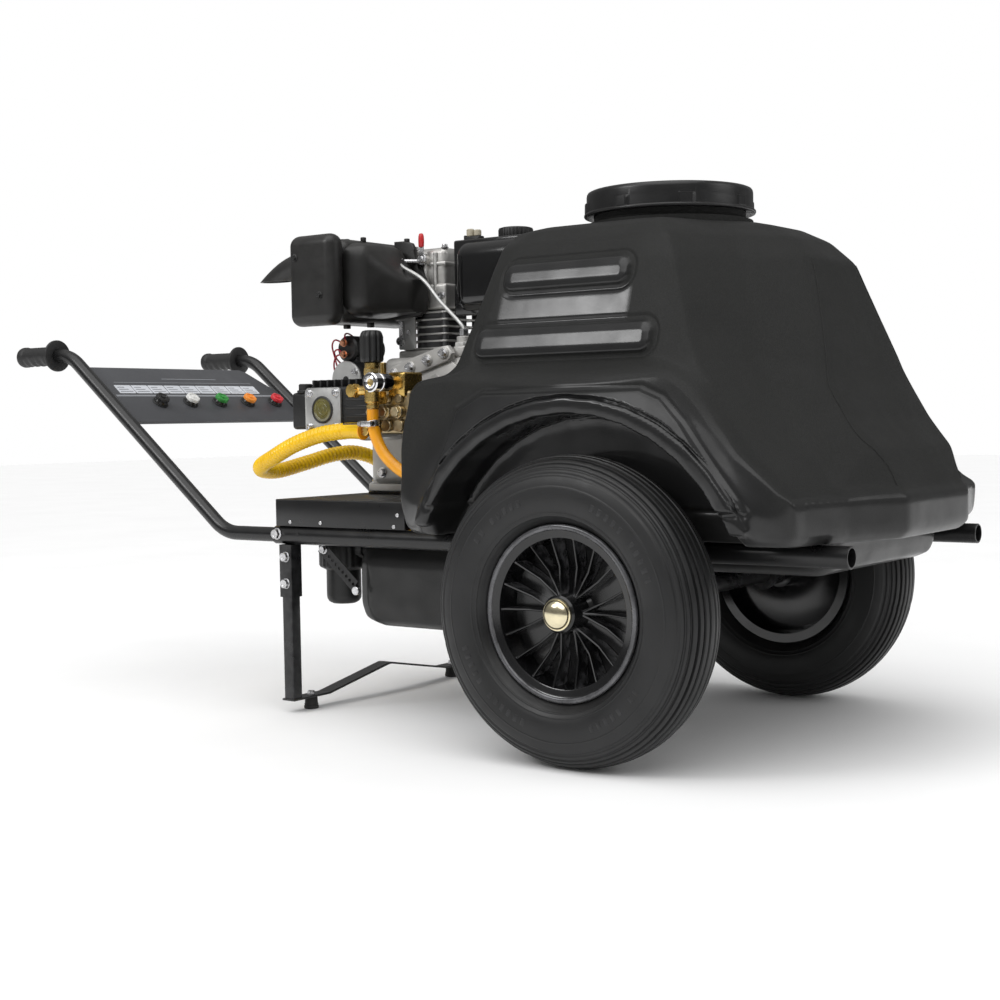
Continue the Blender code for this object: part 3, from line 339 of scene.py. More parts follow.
def turned(bm, profile, centre, axis=(0, 0, 1), steps=48, ring=False, shape=None, place=None):
    """Revolves (radius, height) points; shape(angle, radius, height) may change each radius."""
    part = bmesh.new()
    rows = []
    for radius, height in profile:
        if radius <= 0:
            rows.append([part.verts.new((0, 0, height))])
            continue
        row = []
        for i in range(steps):
            angle = 2 * pi * i / steps
            r = shape(angle, radius, height) if shape else radius
            row.append(part.verts.new((r * cos(angle), r * sin(angle), height)))
        rows.append(row)
    pairs = list(zip(rows, rows[1:]))
    if ring:
        pairs.append((rows[-1], rows[0]))
    for a, b in pairs:
        for i in range(steps):
            j = (i + 1) % steps
            if len(a) == 1 and len(b) > 1:
                part.faces.new((a[0], b[i], b[j]))
            elif len(b) == 1 and len(a) > 1:
                part.faces.new((a[i], a[j], b[0]))
            elif len(a) > 1:
                part.faces.new((a[i], a[j], b[j], b[i]))
    part.transform(axis_matrix(axis, centre))
    return add(bm, part, place)


def rod(bm, start, end, radius, steps=32, bevel=0.0):
    axis = Vector(end) - Vector(start)
    high = axis.length
    profile = ((0, 0), (radius, 0), (radius, high), (0, high))
    if bevel:
        profile = ((0, 0), (radius - bevel, 0), (radius, bevel), (radius, high - bevel),
                   (radius - bevel, high), (0, high))
    return turned(bm, profile, start, axis, steps)


def pipe(bm, start, end, radius, bore, steps=40, lip=0.0006):
    axis = Vector(end) - Vector(start)
    high = axis.length
    profile = ((bore, 0), (radius - lip, 0), (radius, lip), (radius, high - lip), (radius - lip, high),
               (bore, high))
    return turned(bm, profile, start, axis, steps, ring=True)


def loft(bm, rings, place=None):
    part = bmesh.new()
    rows = [[part.verts.new(point) for point in ring] for ring in rings]
    for a, b in zip(rows, rows[1:]):
        for i in range(len(a)):
            j = (i + 1) % len(a)
            part.faces.new((a[i], a[j], b[j], b[i]))
    part.faces.new(rows[0])
    part.faces.new(rows[-1])
    return add(bm, part, place)


def prism(bm, outline, thick, place, bevel=0.0, steps=2):
    """A plane outline of (x, y) points, extruded from z = 0 to the thickness, then placed."""
    part = bmesh.new()
    low = [part.verts.new((x, y, 0)) for x, y in outline]
    high = [part.verts.new((x, y, thick)) for x, y in outline]
    part.faces.new(low)
    part.faces.new(high)
    for i in range(len(outline)):
        j = (i + 1) % len(outline)
        part.faces.new((low[i], low[j], high[j], high[i]))
    if bevel:
        rim = [e for e in part.edges if abs(e.verts[0].co.z - e.verts[1].co.z) < 1e-9]
        bmesh.ops.bevel(part, geom=rim, offset=bevel, segments=steps, profile=0.5, affect="EDGES",
                        clamp_overlap=True)
    return add(bm, part, place)


def rounded(low, high, radius, steps=5):
    """A rectangle with round corners, anticlockwise, as plane points."""
    points = []
    corners = ((high[0] - radius, high[1] - radius), (low[0] + radius, high[1] - radius),
               (low[0] + radius, low[1] + radius), (high[0] - radius, low[1] + radius))
    for quarter, (x, y) in enumerate(corners):
        for i in range(steps + 1):
            angle = (quarter + i / steps) * pi / 2
            points.append((x + radius * cos(angle), y + radius * sin(angle)))
    return points


def filleted(points, radius, steps=8):
    """A path with each inner corner replaced by an arc of the given radius."""
    points = [Vector(p) for p in points]
    path = [points[0]]
    for before, corner, after in zip(points, points[1:], points[2:]):
        back = (before - corner).normalized()
        ahead = (after - corner).normalized()
        half = back.angle(ahead) / 2
        centre = corner + (back + ahead).normalized() * radius / sin(half)
        reach = radius * cos(half) / sin(half)
        start = corner + back * reach - centre
        turn = start.rotation_difference(corner + ahead * reach - centre)
        still = turn.copy()
        still.identity()
        path += [centre + still.slerp(turn, i / steps) @ start for i in range(steps + 1)]
    path.append(points[-1])
    return path


def smooth_route(route, spacing):
    """Points at an even spacing on a smooth curve (Catmull-Rom) through the route's points."""
    points = [Vector(p) for p in route]
    padded = [2 * points[0] - points[1], *points, 2 * points[-1] - points[-2]]
    fine = []
    for a, b, c, d in zip(padded, padded[1:], padded[2:], padded[3:]):
        for i in range(16):
            t = i / 16
            fine.append(0.5 * (2 * b + (c - a) * t + (2 * a - 5 * b + 4 * c - d) * t * t
                               + (3 * b - a - 3 * c + d) * t ** 3))
    fine.append(points[-1])
    lengths = [0.0]
    for a, b in zip(fine, fine[1:]):
        lengths.append(lengths[-1] + (b - a).length)
    count = max(2, round(lengths[-1] / spacing))
    even = []
    k = 0
    for i in range(count + 1):
        wanted = lengths[-1] * i / count
        while k < len(fine) - 2 and lengths[k + 1] < wanted:
            k += 1
        part = (wanted - lengths[k]) / (lengths[k + 1] - lengths[k])
        even.append(fine[k].lerp(fine[k + 1], part))
    return even


def length_of(points):
    return sum((b - a).length for a, b in zip(points, points[1:]))


def tube(bm, points, radius, sides=20, bore=0.0):
    """A round tube along points; radius is a number, or a function of (share, distance, angle)."""
    part = bmesh.new()
    points = [Vector(p) for p in points]
    total = length_of(points)
    ahead = (points[1] - points[0]).normalized()
    side = ahead.orthogonal().normalized()
    outer, inner = [], []
    far = 0.0
    for i, point in enumerate(points):
        if i:
            far += (point - points[i - 1]).length
        now = (points[min(i + 1, len(points) - 1)] - points[max(i - 1, 0)]).normalized()
        side = (ahead.rotation_difference(now) @ side).normalized()
        ahead = now
        up = ahead.cross(side)
        row, hollow = [], []
        for k in range(sides):
            angle = 2 * pi * k / sides
            r = radius(far / total, far, angle) if callable(radius) else radius
            way = cos(angle) * side + sin(angle) * up
            row.append(part.verts.new(point + r * way))
            if bore:
                hollow.append(part.verts.new(point + bore * way))
        outer.append(row)
        inner.append(hollow)
    for rows in (outer, inner) if bore else (outer,):
        for a, b in zip(rows, rows[1:]):
            for k in range(sides):
                j = (k + 1) % sides
                part.faces.new((a[k], a[j], b[j], b[k]))
    for end in (0, -1):
        if bore:
            for k in range(sides):
                j = (k + 1) % sides
                part.faces.new((outer[end][k], outer[end][j], inner[end][j], inner[end][k]))
        else:
            part.faces.new(outer[end])
    return add(bm, part)


def six_sided(angle, radius):
    """How far a hexagon reaches at an angle, from the radius of its corners."""
    return radius * cos(pi / 6) / cos(angle % (pi / 3) - pi / 6)


def bolt(bm, at, axis, across=0.013, height=0.0055, washer=0.0):
    """A hexagon head with a chamfered top, on a washer."""
    at = Vector(at)
    axis = Vector(axis).normalized()
    if washer:
        turned(bm, ((0, 0), (washer, 0), (washer, 0.0011), (washer - 0.0003, 0.0014), (0, 0.0014)), at,
               axis, 28)
        at = at + axis * 0.0014
    r = across / 1.732
    profile = ((0, 0), (r, 0), (r, height * 0.78), (r * 0.86, height), (r * 0.5, height),
               (r * 0.42, height - 0.0004),
               (0, height - 0.0004))

    def hexagon(angle, radius, h):
        return radius if h > height * 0.8 or radius < r * 0.9 else six_sided(angle, radius)

    return turned(bm, profile, at, axis, 24, shape=hexagon)


def screw(bm, at, axis, radius=0.0042, height=0.004):
    profile = ((0, 0), (radius, 0), (radius, height - 0.0006), (radius - 0.0006, height),
               (radius * 0.55, height),
               (radius * 0.5, height * 0.45), (0, height * 0.45))
    return turned(bm, profile, at, axis, 20)


def piece(name, bm, finish, **how):
    mesh = bpy.data.meshes.new(name)
    bm.to_mesh(mesh)
    bm.free()
    return show(name, mesh, finish, **how)


def show(name, mesh, finish, body="frame", slot=None, replaces=(), smooth=32):
    """Puts a mesh in the scene. A piece NAME_fine stands in for the CAD node NAME."""
    made = bpy.data.objects.new(name, mesh)
    bpy.context.scene.collection.objects.link(made)
    mesh.materials.clear()
    mesh.materials.append(FINISH[finish])
    mesh.shade_smooth()
    if smooth:
        mesh.set_sharp_from_angle(angle=radians(smooth))
    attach(made, body)
    if name.endswith("_fine"):
        replaces = (name.removesuffix("_fine"),)
    if replaces:
        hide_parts(*replaces)
    return made


def build(name, finish, *parts, **how):
    """A piece made of parts, each given as (function, its arguments, and perhaps a dict of settings)."""
    bm = bmesh.new()
    for part, *values in parts:
        settings = values.pop() if isinstance(values[-1], dict) else {}
        part(bm, *values, **settings)
    return piece(name, bm, finish, **how)


def repaint(finish, *nodes):
    """Gives CAD nodes whose shape is right a finished material."""
    for node in nodes:
        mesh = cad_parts[node].data
        mesh.materials.clear()
        mesh.materials.append(FINISH[finish])


# ---------------------------------------------------------------- camera, light and floor

def add_camera():
    yaw, pitch, roll = (radians(turn) for turn in CAMERA_TURN)
    ahead = Vector((-sin(yaw) * cos(pitch), cos(yaw) * cos(pitch), sin(pitch)))
    right = Vector((cos(yaw), sin(yaw), 0))
    up = right.cross(ahead)
    x = cos(roll) * right + sin(roll) * up
    y = cos(roll) * up - sin(roll) * right
    data = bpy.data.cameras.new("camera")
    data.lens = CAMERA_LENS
    data.sensor_width = 36.0
    camera = bpy.data.objects.new("camera", data)
    turn = Matrix((x, y, -ahead)).transposed().to_4x4()
    camera.matrix_world = Matrix.Translation(CAMERA_AT) @ turn
    bpy.context.scene.collection.objects.link(camera)
    bpy.context.scene.camera = camera


def add_area(name, at, target, size, power):
    data = bpy.data.lights.new(name, "AREA")
    data.shape = "RECTANGLE"
    data.size, data.size_y = size
    data.energy = power
    light = bpy.data.objects.new(name, data)
    light.location = at
    light.rotation_euler = (Vector(target) - Vector(at)).to_track_quat("-Z", "Y").to_euler()
    bpy.context.scene.collection.objects.link(light)


def light_sky(tree):
    """White to the eye and to matt surfaces, and dimmer in reflections, as dark flags round a studio make it."""
    ground = tree.nodes["Background"]
    ground.inputs["Color"].default_value = (1.0, 1.0, 1.0, 1.0)
    path = tree.nodes.new("ShaderNodeLightPath")
    split = tree.nodes.new("ShaderNodeSeparateXYZ")
    tree.links.new(tree.nodes.new("ShaderNodeTexCoord").outputs["Generated"], split.inputs[0])
    height = tree.nodes.new("ShaderNodeMapRange")
    for socket, value in (("From Min", -0.05), ("From Max", 0.75), ("To Min", 0.07), ("To Max", 0.4)):
        height.inputs[socket].default_value = value
    tree.links.new(split.outputs["Z"], height.inputs["Value"])
    plain = tree.nodes.new("ShaderNodeMapRange")
    plain.inputs["To Min"].default_value = 0.55
    plain.inputs["To Max"].default_value = 1.0
    tree.links.new(path.outputs["Is Camera Ray"], plain.inputs["Value"])
    choose = tree.nodes.new("ShaderNodeMix")
    tree.links.new(path.outputs["Is Glossy Ray"], choose.inputs[0])
    tree.links.new(plain.outputs[0], choose.inputs[2])
    tree.links.new(height.outputs[0], choose.inputs[3])
    tree.links.new(choose.outputs[0], ground.inputs["Strength"])


def add_studio():
    scene = bpy.context.scene
    scene.view_settings.view_transform = "Standard"
    world = bpy.data.worlds.new("studio")
    world.use_nodes = True
    scene.world = world
    light_sky(world.node_tree)
    sky = bpy.data.lights.new("overhead", "SUN")
    sky.energy = 1.75
    sky.angle = radians(70)
    overhead = bpy.data.objects.new("overhead", sky)
    overhead.rotation_euler = Vector((-0.14, 0.4, -0.9)).to_track_quat("-Z", "Y").to_euler()
    scene.collection.objects.link(overhead)
    add_area("key", (-1.25, -2.85, 2.35), (0.3, 0.0, 0.55), (1.15, 0.75), 27)
    add_area("rear", (3.2, 0.9, 1.9), (0.3, 0.0, 0.4), (1.6, 1.4), 12)
    n = Nodes("pale_floor")
    tone = n.mix(n.ranged(n.noise(3.0, 3.0), 0.3, 0.7, 0.0, 1.0), (0.94, 0.94, 0.94), (0.97, 0.97, 0.97))
    n.link(tone, n.shader.inputs["Base Color"])
    n.shader.inputs["Roughness"].default_value = 0.75
    n.shader.inputs["Specular IOR Level"].default_value = 0.2
    bm = bmesh.new()
    bmesh.ops.create_grid(bm, x_segments=8, y_segments=8, size=14.0)
    mesh = bpy.data.meshes.new("floor")
    bm.to_mesh(mesh)
    bm.free()
    mesh.materials.append(n.material)
    floor = bpy.data.objects.new("floor", mesh)
    scene.collection.objects.link(floor)


# ---------------------------------------------------------------- hoses

def make_hoses():
    pitch = 0.0076

    def ribbed(share, far, angle):
        if far < 0.034:
            return SUCTION_D / 2 - 0.0006
        wave = 0.5 + 0.5 * cos(2 * pi * (far / pitch) - angle)
        fade = 1.0 if far < 0.3 else 0.62
        return SUCTION_D / 2 - 0.0001 - 0.0022 * fade * (1 - wave ** 0.6)

    points = smooth_route(SUCTION_ROUTE, 0.00125)
    hose = piece("suction_hose_fine", tube(bmesh.new(), points, ribbed, 24), "yellow", smooth=60)
    points = smooth_route(BYPASS_ROUTE, 0.003)
    hose = piece("bypass_hose_fine", tube(bmesh.new(), points, BYPASS_D / 2, 28), "orange", smooth=60)


# ---------------------------------------------------------------- wheels

def tyre_section():
    """The tyre's outline as (radius, distance from the middle plane), with tread grooves and side rings."""
    keys = ((0.1018, 0.0288), (0.108, 0.029), (0.1136, 0.0296), (0.1168, 0.0335), (0.1235, 0.0425),
            (0.134, 0.048), (0.148, 0.05), (0.164, 0.0486), (0.1775, 0.044), (0.187, 0.0375),
            (0.1937, 0.029), (0.1975, 0.019), (0.1995, 0.009), (0.2, 0.0))
    path = smooth_route([(r, y, 0) for r, y in keys], 0.0006)
    grooves = ((0.0065, 0.0044, 0.0017), (0.0168, 0.0044, 0.0017), (0.0262, 0.004, 0.0016),
               (0.0345, 0.003, 0.0013), (0.0398, 0.002, 0.0011), (0.0443, 0.0014, 0.001))
    half = []
    for i, point in enumerate(path):
        along = (path[min(i + 1, len(path) - 1)] - path[max(i - 1, 0)]).normalized()
        inward = Vector((along.y, -along.x, 0))
        if inward.dot(Vector((point.x - 0.15, point.y, 0))) > 0:
            inward = -inward
        depth = 0.0
        if point.x > 0.16:
            for at, deep, wide in grooves:
                depth += deep * exp(-((point.y - at) / wide) ** 4)
        for at, high in ((0.1245, 0.0007), (0.13, 0.0005), (0.161, 0.0006)):
            depth -= high * exp(-((point.x - at) / 0.0008) ** 2)
        moved = point + inward * depth
        half.append((moved.x, max(0.0, moved.y)))
    return half + [(r, -y) for r, y in reversed(half[:-1])]


def make_tyre(word, side):
    """The tyre, with blank blocks where the side wall of a real one is lettered."""
    marks = [2 * pi * k / 6 + 0.24 for k in range(6)]

    def shape(angle, radius, height):
        if 0.118 < radius < 0.1995:
            for mark in marks:
                gap = abs((angle - mark + pi) % (2 * pi) - pi) * radius
                if gap < 0.0011:
                    return radius - 0.00045
        return radius

    bm = bmesh.new()
    centre = (AXLE_X, side * WHEEL_Y, AXLE_Z)
    steps = 180
    turned(bm, tyre_section(), centre, (0, side, 0), steps, ring=True, shape=shape)
    around = axis_matrix((0, side, 0), centre)
    step = 4.6
    for start, stop in ((20, 74), (110, 150), (200, 262), (292, 330)):
        for k in range(int((stop - start) / step)):
            if k % 7 == 5:
                continue
            turn = Matrix.Rotation(radians(start + k * step), 4, "Z")
            place = around @ turn @ Matrix.Translation((BLOCK_R, 0, 0.0494))
            box(bm, (-0.0045, -0.0028, 0), (0.0045, 0.0028, 0.0009), 0.0004, 2, place)
    piece(f"tyre_{word}_fine", bm, "tyre", body=f"wheel_{word}", smooth=50)


def make_rim(word, side):
    centre = (AXLE_X, side * WHEEL_Y, AXLE_Z)
    place = axis_matrix((0, side, 0), centre)
    bm = bmesh.new()
    drum = ((0.101, 0.0285), (0.101, -0.029), (0.113, -0.03), (0.1136, -0.0325), (0.112, -0.034),
            (0.0985, -0.0335), (0.0965, -0.02), (0.0955, -0.007), (0.062, -0.0125), (0.03, -0.0085),
            (0.024, -0.0085), (0.024, -0.0435), (0.0225, -0.044), (0.013, -0.044), (0.013, 0.0385),
            (0.0215, 0.0385), (0.024, 0.036), (0.0245, 0.002), (0.029, -0.002), (0.062, -0.0075),
            (0.0925, -0.0025), (0.0955, 0.002), (0.096, 0.0285))
    turned(bm, drum, centre, (0, side, 0), 96, ring=True)
    for node in range(6):
        for k in (-1, 0, 1):
            base = 2 * pi * node / 6
            start = Vector((0.0235 * cos(base + k * 0.1), 0.0235 * sin(base + k * 0.1), 0))
            tip_angle = base + k * pi / 9
            tip = Vector((0.0962 * cos(tip_angle), 0.0962 * sin(tip_angle), 0))
            rings = []
            for share, front, back, half in ((0, 0.0185, 0.0, 0.0015), (0.1, 0.0165, -0.004, 0.0014),
                                             (0.5, 0.014, -0.0065, 0.0012),
                                             (0.96, 0.0262, -0.002, 0.0012), (1.0, 0.027, 0.0, 0.0012)):
                point = start.lerp(tip, share)
                side_way = (tip - start).normalized().cross(Vector((0, 0, 1)))
                rings.append([
                    (*(point + side_way * half)[:2], back),
                    (*(point + side_way * half)[:2], front - 0.0006),
                    (*(point + side_way * half * 0.4)[:2], front),
                    (*(point - side_way * half * 0.4)[:2], front),
                    (*(point - side_way * half)[:2], front - 0.0006),
                    (*(point - side_way * half)[:2], back)])
            loft(bm, rings, place)
    shoulder = ((0.0962, 0.0287), (0.0962, 0.0303), (0.0975, 0.031), (0.1035, 0.0322), (0.106, 0.0335),
                (0.1062, 0.03), (0.1012, 0.0289))
    turned(bm, shoulder, centre, (0, side, 0), 120, ring=True)
    # The light rib edges come from the rim finish: a painted highlight
    piece(f"rim_{word}_fine", bm, "rim", body=f"wheel_{word}")
    lip = ((0.1064, 0.03), (0.1064, 0.0336), (0.1074, 0.0349), (0.1096, 0.0354), (0.112, 0.035),
           (0.1133, 0.0338), (0.1137, 0.0318), (0.1132, 0.0302), (0.11, 0.0298))
    # Grey lip: partly wear, partly a painted reflection on the polished black lip
    build(f"rim_lip_{word}", "lip",
          (turned, lip, centre, (0, side, 0), 120, dict(ring=True)), body=f"wheel_{word}", smooth=45)


def make_wheels():
    for word, side in SIDES.items():
        make_tyre(word, side)
        make_rim(word, side)
        dome = [(0.0, 0.0), (0.0205, 0.0), (0.0205, 0.0022)]
        dome += [(0.0188 * cos(a), 0.0026 + 0.0098 * sin(a)) for a in (radians(9 * i) for i in range(10))]
        dome.append((0.0, 0.0124))
        build(f"hub_cap_{word}_fine", "hub",
              (turned, dome, (AXLE_X, side * (WHEEL_Y + 0.0386), AXLE_Z), (0, side, 0), 64),
              body=f"wheel_{word}", smooth=40)
    repaint("paint", "axle", "axle_bracket_near", "axle_bracket_far")


# ---------------------------------------------------------------- chassis, stand, handles and panel

HANDLE_R = 0.0113
HANDLE_LOW_X = -0.287
HANDLE_HIGH = (-0.6545, 0.567)
GRIP_END, GRIP_LENGTH = -0.782, 0.0955
SLOPE = atan2(HANDLE_HIGH[1] - TUBE_Z, HANDLE_LOW_X - HANDLE_HIGH[0])
PANEL_LOW, PANEL_HIGH, PANEL_HALF = 0.283, 0.4355, 0.2052
NOZZLE_ROW, NOZZLE_PITCH = 0.335, 0.0702
STAND_X, STAND_Y = -0.1475, 0.2175


def make_chassis():
    for word, side in SIDES.items():
        y = side * TUBE_Y
        node = f"chassis_tube_{word}"
        low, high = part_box(node)
        build(f"{node}_fine", "paint",
              (pipe, (low.x, y, TUBE_Z), (high.x, y, TUBE_Z), TUBE_R, 0.0117, 48, 0.0008))
        out = Vector((0, side, 0))
        build(f"chassis_bolts_{word}", "zinc",
              (bolt, (-0.1615, side * 0.2307, 0.276), out, 0.0135, 0.0058, 0.0088),
              *((bolt, (-0.1455, side * (STAND_Y + 0.0124), z), out, 0.013, 0.0055, 0.008)
                for z in (0.241, 0.2)))
        # A near-black disc on the tube: painted shade for the bolt hole
        build(f"chassis_hole_{word}", "hole",
              (turned, ((0, 0), (0.0034, 0), (0.0034, 0.0004), (0, 0.0004)),
               (-0.1195, side * 0.2307, 0.2765), out, 20))


def square_tube(bm, x, y, low, high, half, wall, corner):
    outer = rounded((x - half, y - half), (x + half, y + half), corner, 4)
    inner = rounded((x - half + wall, y - half + wall), (x + half - wall, y + half - wall), corner * 0.5, 4)
    part = bmesh.new()
    rows = [[part.verts.new((*p, z)) for p in outline] for outline, z in
            ((outer, low), (outer, high), (inner, high), (inner, low))]
    for a, b in zip(rows, rows[1:] + rows[:1]):
        for i in range(len(a)):
            j = (i + 1) % len(a)
            part.faces.new((a[i], a[j], b[j], b[i]))
    return add(bm, part)


def make_stand():
    for word, side in SIDES.items():
        low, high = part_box(f"leg_sleeve_{word}")
        build(f"leg_sleeve_{word}_fine", "paint",
              (square_tube, STAND_X, side * STAND_Y, low.z, high.z, 0.0125, 0.0023, 0.0025))
        low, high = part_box(f"stand_leg_{word}")
        build(f"stand_leg_{word}_fine", "paint",
              (square_tube, STAND_X, side * STAND_Y, low.z, high.z, 0.0099, 0.002, 0.0022))
        low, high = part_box(f"foot_{word}")
        middle = (low + high) / 2
        profile = ((0, 0), (0.0105, 0), (0.0115, 0.0012), (0.0115, 0.0045), (0.0104, 0.0055),
                   (0.011, 0.0068), (0.0102, 0.0085), (0.0098, 0.0165), (0.0088, 0.0187), (0, 0.0187))
        build(f"foot_{word}_fine", "foot", (turned, profile, (middle.x, middle.y, 0), dict(steps=40)))
        build(f"foot_bolt_{word}", "zinc",
              (bolt, (STAND_X, middle.y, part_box("stand_brace")[0].z + 0.0029), (0, 0, 1),
               0.01, 0.0045, 0.007))
    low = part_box("stand_brace")[0].z
    spine = filleted(((0, -0.229, low), (0, -0.148, low), (0, 0, low + 0.028), (0, 0.148, low),
                      (0, 0.229, low)), 0.03, 5)
    section = ((-0.0125, 0), (0.0125, 0), (0.0125, 0.0024), (0.0119, 0.003), (-0.0119, 0.003),
               (-0.0125, 0.0024))
    rings = [[(STAND_X + x, p.y, p.z + z) for x, z in section] for p in spine]
    piece("stand_brace_fine", loft(bmesh.new(), rings), "paint")


def make_handles():
    for word, side in SIDES.items():
        y = side * TUBE_Y
        corners = ((-0.1195, y, TUBE_Z), (HANDLE_LOW_X, y, TUBE_Z), (HANDLE_HIGH[0], y, HANDLE_HIGH[1]),
                   (GRIP_END + 0.006, y, HANDLE_HIGH[1]))
        build(f"handle_{word}_fine", "paint",
              (tube, filleted(corners, 0.075, 14), HANDLE_R, 32, dict(bore=0.009)), smooth=45)
        length = GRIP_LENGTH
        profile = [(0, 0), (0.0095, 0.0002), (0.014, 0.0012), (0.0168, 0.0035), (0.0176, 0.0065),
                   (0.0176, 0.0125), (0.0166, 0.0155), (0.016, 0.0175)]
        profile += [(0.016, 0.0175 + (length - 0.029) * i / 48) for i in range(1, 49)]
        profile += [(0.0172, length - 0.0095), (0.0215, length - 0.007), (0.0258, length - 0.0058),
                    (0.027, length - 0.004), (0.027, length - 0.0014), (0.0258, length),
                    (HANDLE_R + 0.0004, length), (HANDLE_R + 0.0004, 0.0058), (0, 0.0058)]

        def grip_shape(angle, radius, height, top=length):
            if radius < 0.0155 or height < 0.018 or height > top - 0.011:
                return radius
            under = max(0.0, -cos(angle)) ** 0.8
            fingers = 0.0011 * under * sin(2 * pi * (height - 0.018) / 0.0165)
            ribs = 0.00028 * sin(2 * pi * height / 0.0034) * max(0.0, cos(angle))
            return radius + fingers + ribs

        bm = bmesh.new()
        turn = Matrix(((0, 0, 1, GRIP_END), (0, 1, 0, y), (1, 0, 0, HANDLE_HIGH[1]), (0, 0, 0, 1)))
        turned(bm, profile, (0, 0, 0), (0, 0, 1), 56, shape=grip_shape, place=turn)
        piece(f"grip_{word}_fine", bm, "grip", smooth=50)


def slope_matrix(along, y, out=0.0):
    """x runs up the slope, y across the machine, z out of the handles' plane."""
    up = Vector((-cos(SLOPE), 0, sin(SLOPE)))
    normal = Vector((sin(SLOPE), 0, cos(SLOPE)))
    across = normal.cross(up)
    at = Vector((HANDLE_LOW_X, y, TUBE_Z)) + up * along + normal * out
    return Matrix(((up.x, across.x, normal.x, at.x), (up.y, across.y, normal.y, at.y),
                   (up.z, across.z, normal.z, at.z), (0, 0, 0, 1)))


def sheet_patch(bm, low, high, radius, out=0.001, thick=0.0003):
    """A thin printed patch on the panel, from (along, y) to (along, y)."""
    place = slope_matrix(0, 0, out)
    outline = [(a, -y) for a, y in rounded(low, high, radius, 3)]
    return prism(bm, outline, thick, place)


def make_panel():
    place = slope_matrix(0, 0, -0.001)
    bm = bmesh.new()
    high, low, half = PANEL_HIGH, PANEL_LOW, PANEL_HALF
    outline = [(low, half), (low, -half), (high - 0.075, -half), (high - 0.066, -half + 0.003),
               (high - 0.006, -half + 0.04), (high, -half + 0.05), (high, half - 0.004),
               (high - 0.004, half)]
    prism(bm, outline, 0.002, place, 0.0006)
    box(bm, (low, -half, -0.0035), (low + 0.002, half, 0.001), 0.0006, 2, place)
    piece("control_panel_fine", bm, "panel")
    bm = bmesh.new()
    for k in range(9):
        left = -0.182 + k * 0.0372
        sheet_patch(bm, (low + 0.079, left), (low + 0.1015, left + 0.0355), 0.0016)
    piece("panel_cells", bm, "print")
    bm = bmesh.new()
    sheet_patch(bm, (low + 0.07, -0.196), (low + 0.0745, 0.196), 0.0008)
    sheet_patch(bm, (low + 0.12, -0.06), (low + 0.1216, 0.07), 0.0004)
    sheet_patch(bm, (low + 0.109, -0.176), (low + 0.1101, 0.15), 0.0003)
    for k in range(9):
        left = -0.178 + k * 0.0372
        for row in range(3):
            sheet_patch(bm, (low + 0.0832 + row * 0.0058, left),
                        (low + 0.0848 + row * 0.0058, left + 0.027 - 0.006 * row),
                        0.0004, 0.0013)
    piece("panel_lines", bm, "print_grey")
    for index, colour in enumerate(NOZZLES):
        place = slope_matrix(NOZZLE_ROW, (index - 2) * NOZZLE_PITCH + 0.0275)
        head = ((0, 0.0082), (0.0105, 0.0082), (0.0122, 0.0092), (0.0122, 0.013), (0.0114, 0.0148),
                (0.0078, 0.0156), (0.0072, 0.0144), (0.0045, 0.0144), (0.0042, 0.016), (0, 0.016))

        def lobes(angle, radius, height):
            return radius * (1 + 0.035 * cos(6 * angle)) if radius > 0.009 else radius

        nozzle = f"nozzle_{colour}"
        build(f"{nozzle}_cap", nozzle,
              (turned, head, (0, 0, 0), dict(steps=48, shape=lobes, place=place)),
              body=nozzle, replaces=(nozzle,))
        stem = ((0, 0.002), (0.0062, 0.002), (0.0062, -0.009), (0.0052, -0.01), (0.0052, -0.012),
                (0.004, -0.0155), (0, -0.016))
        build(f"{nozzle}_stem", "zinc", (turned, stem, (0, 0, 0), dict(steps=32, place=place)), body=nozzle)
        neck = ((0, 0.0022), (0.0106, 0.0022), (0.0113, 0.0036), (0.0104, 0.0066), (0.0094, 0.0083),
                (0, 0.0083))
        build(f"{nozzle}_neck", "nozzle_black", (turned, neck, (0, 0, 0), dict(steps=40, place=place)),
              body=nozzle)
        ring = ((0.0066, -0.003), (0.01, -0.003), (0.0104, -0.0012), (0.0084, -0.0012), (0.0084, 0.0012),
                (0.0138, 0.0012), (0.0142, 0.0022), (0.0132, 0.0033), (0.0112, 0.0036), (0.0066, 0.002))
        build(f"grommet_{colour}", "seal",
              (turned, ring, (0, 0, 0), dict(steps=40, ring=True, place=place)))


def make_tray():
    low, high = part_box("engine_tray")
    top = high.z - 0.004
    build("engine_tray_fine", "paint",
          (box, (low.x, low.y, top - 0.002), (high.x, high.y, top), 0.0009, 3),
          (box, (low.x, low.y, low.z), (high.x, low.y + 0.002, top - 0.0012), 0.0007, 2),
          (box, (low.x, high.y - 0.002, low.z), (high.x, high.y, top - 0.0012), 0.0007, 2),
          (box, (low.x, low.y + 0.0022, low.z), (low.x + 0.002, high.y - 0.0022, top - 0.0012), 0.0007, 2),
          (box, (high.x - 0.002, low.y + 0.0022, low.z), (high.x, high.y - 0.0022, top - 0.0012), 0.0007,
           2),
          *((box, (-0.137, y, top - 0.0005), (0.055, y + 0.03, high.z), 0.0012, 2)
            for y in (-0.045, 0.125)))
    bm = bmesh.new()
    for x, z in ((high.x - 0.013, low.z + 0.0215), (low.x + 0.03, low.z + 0.0065),
                 (low.x + 0.092, low.z + 0.0065), (high.x - 0.02, low.z + 0.0045)):
        for side in (-1, 1):
            y = low.y if side < 0 else high.y
            screw(bm, (x, y, z), (0, side, 0), 0.003, 0.0016)
    piece("tray_screws", bm, "zinc")


# ---------------------------------------------------------------- engine

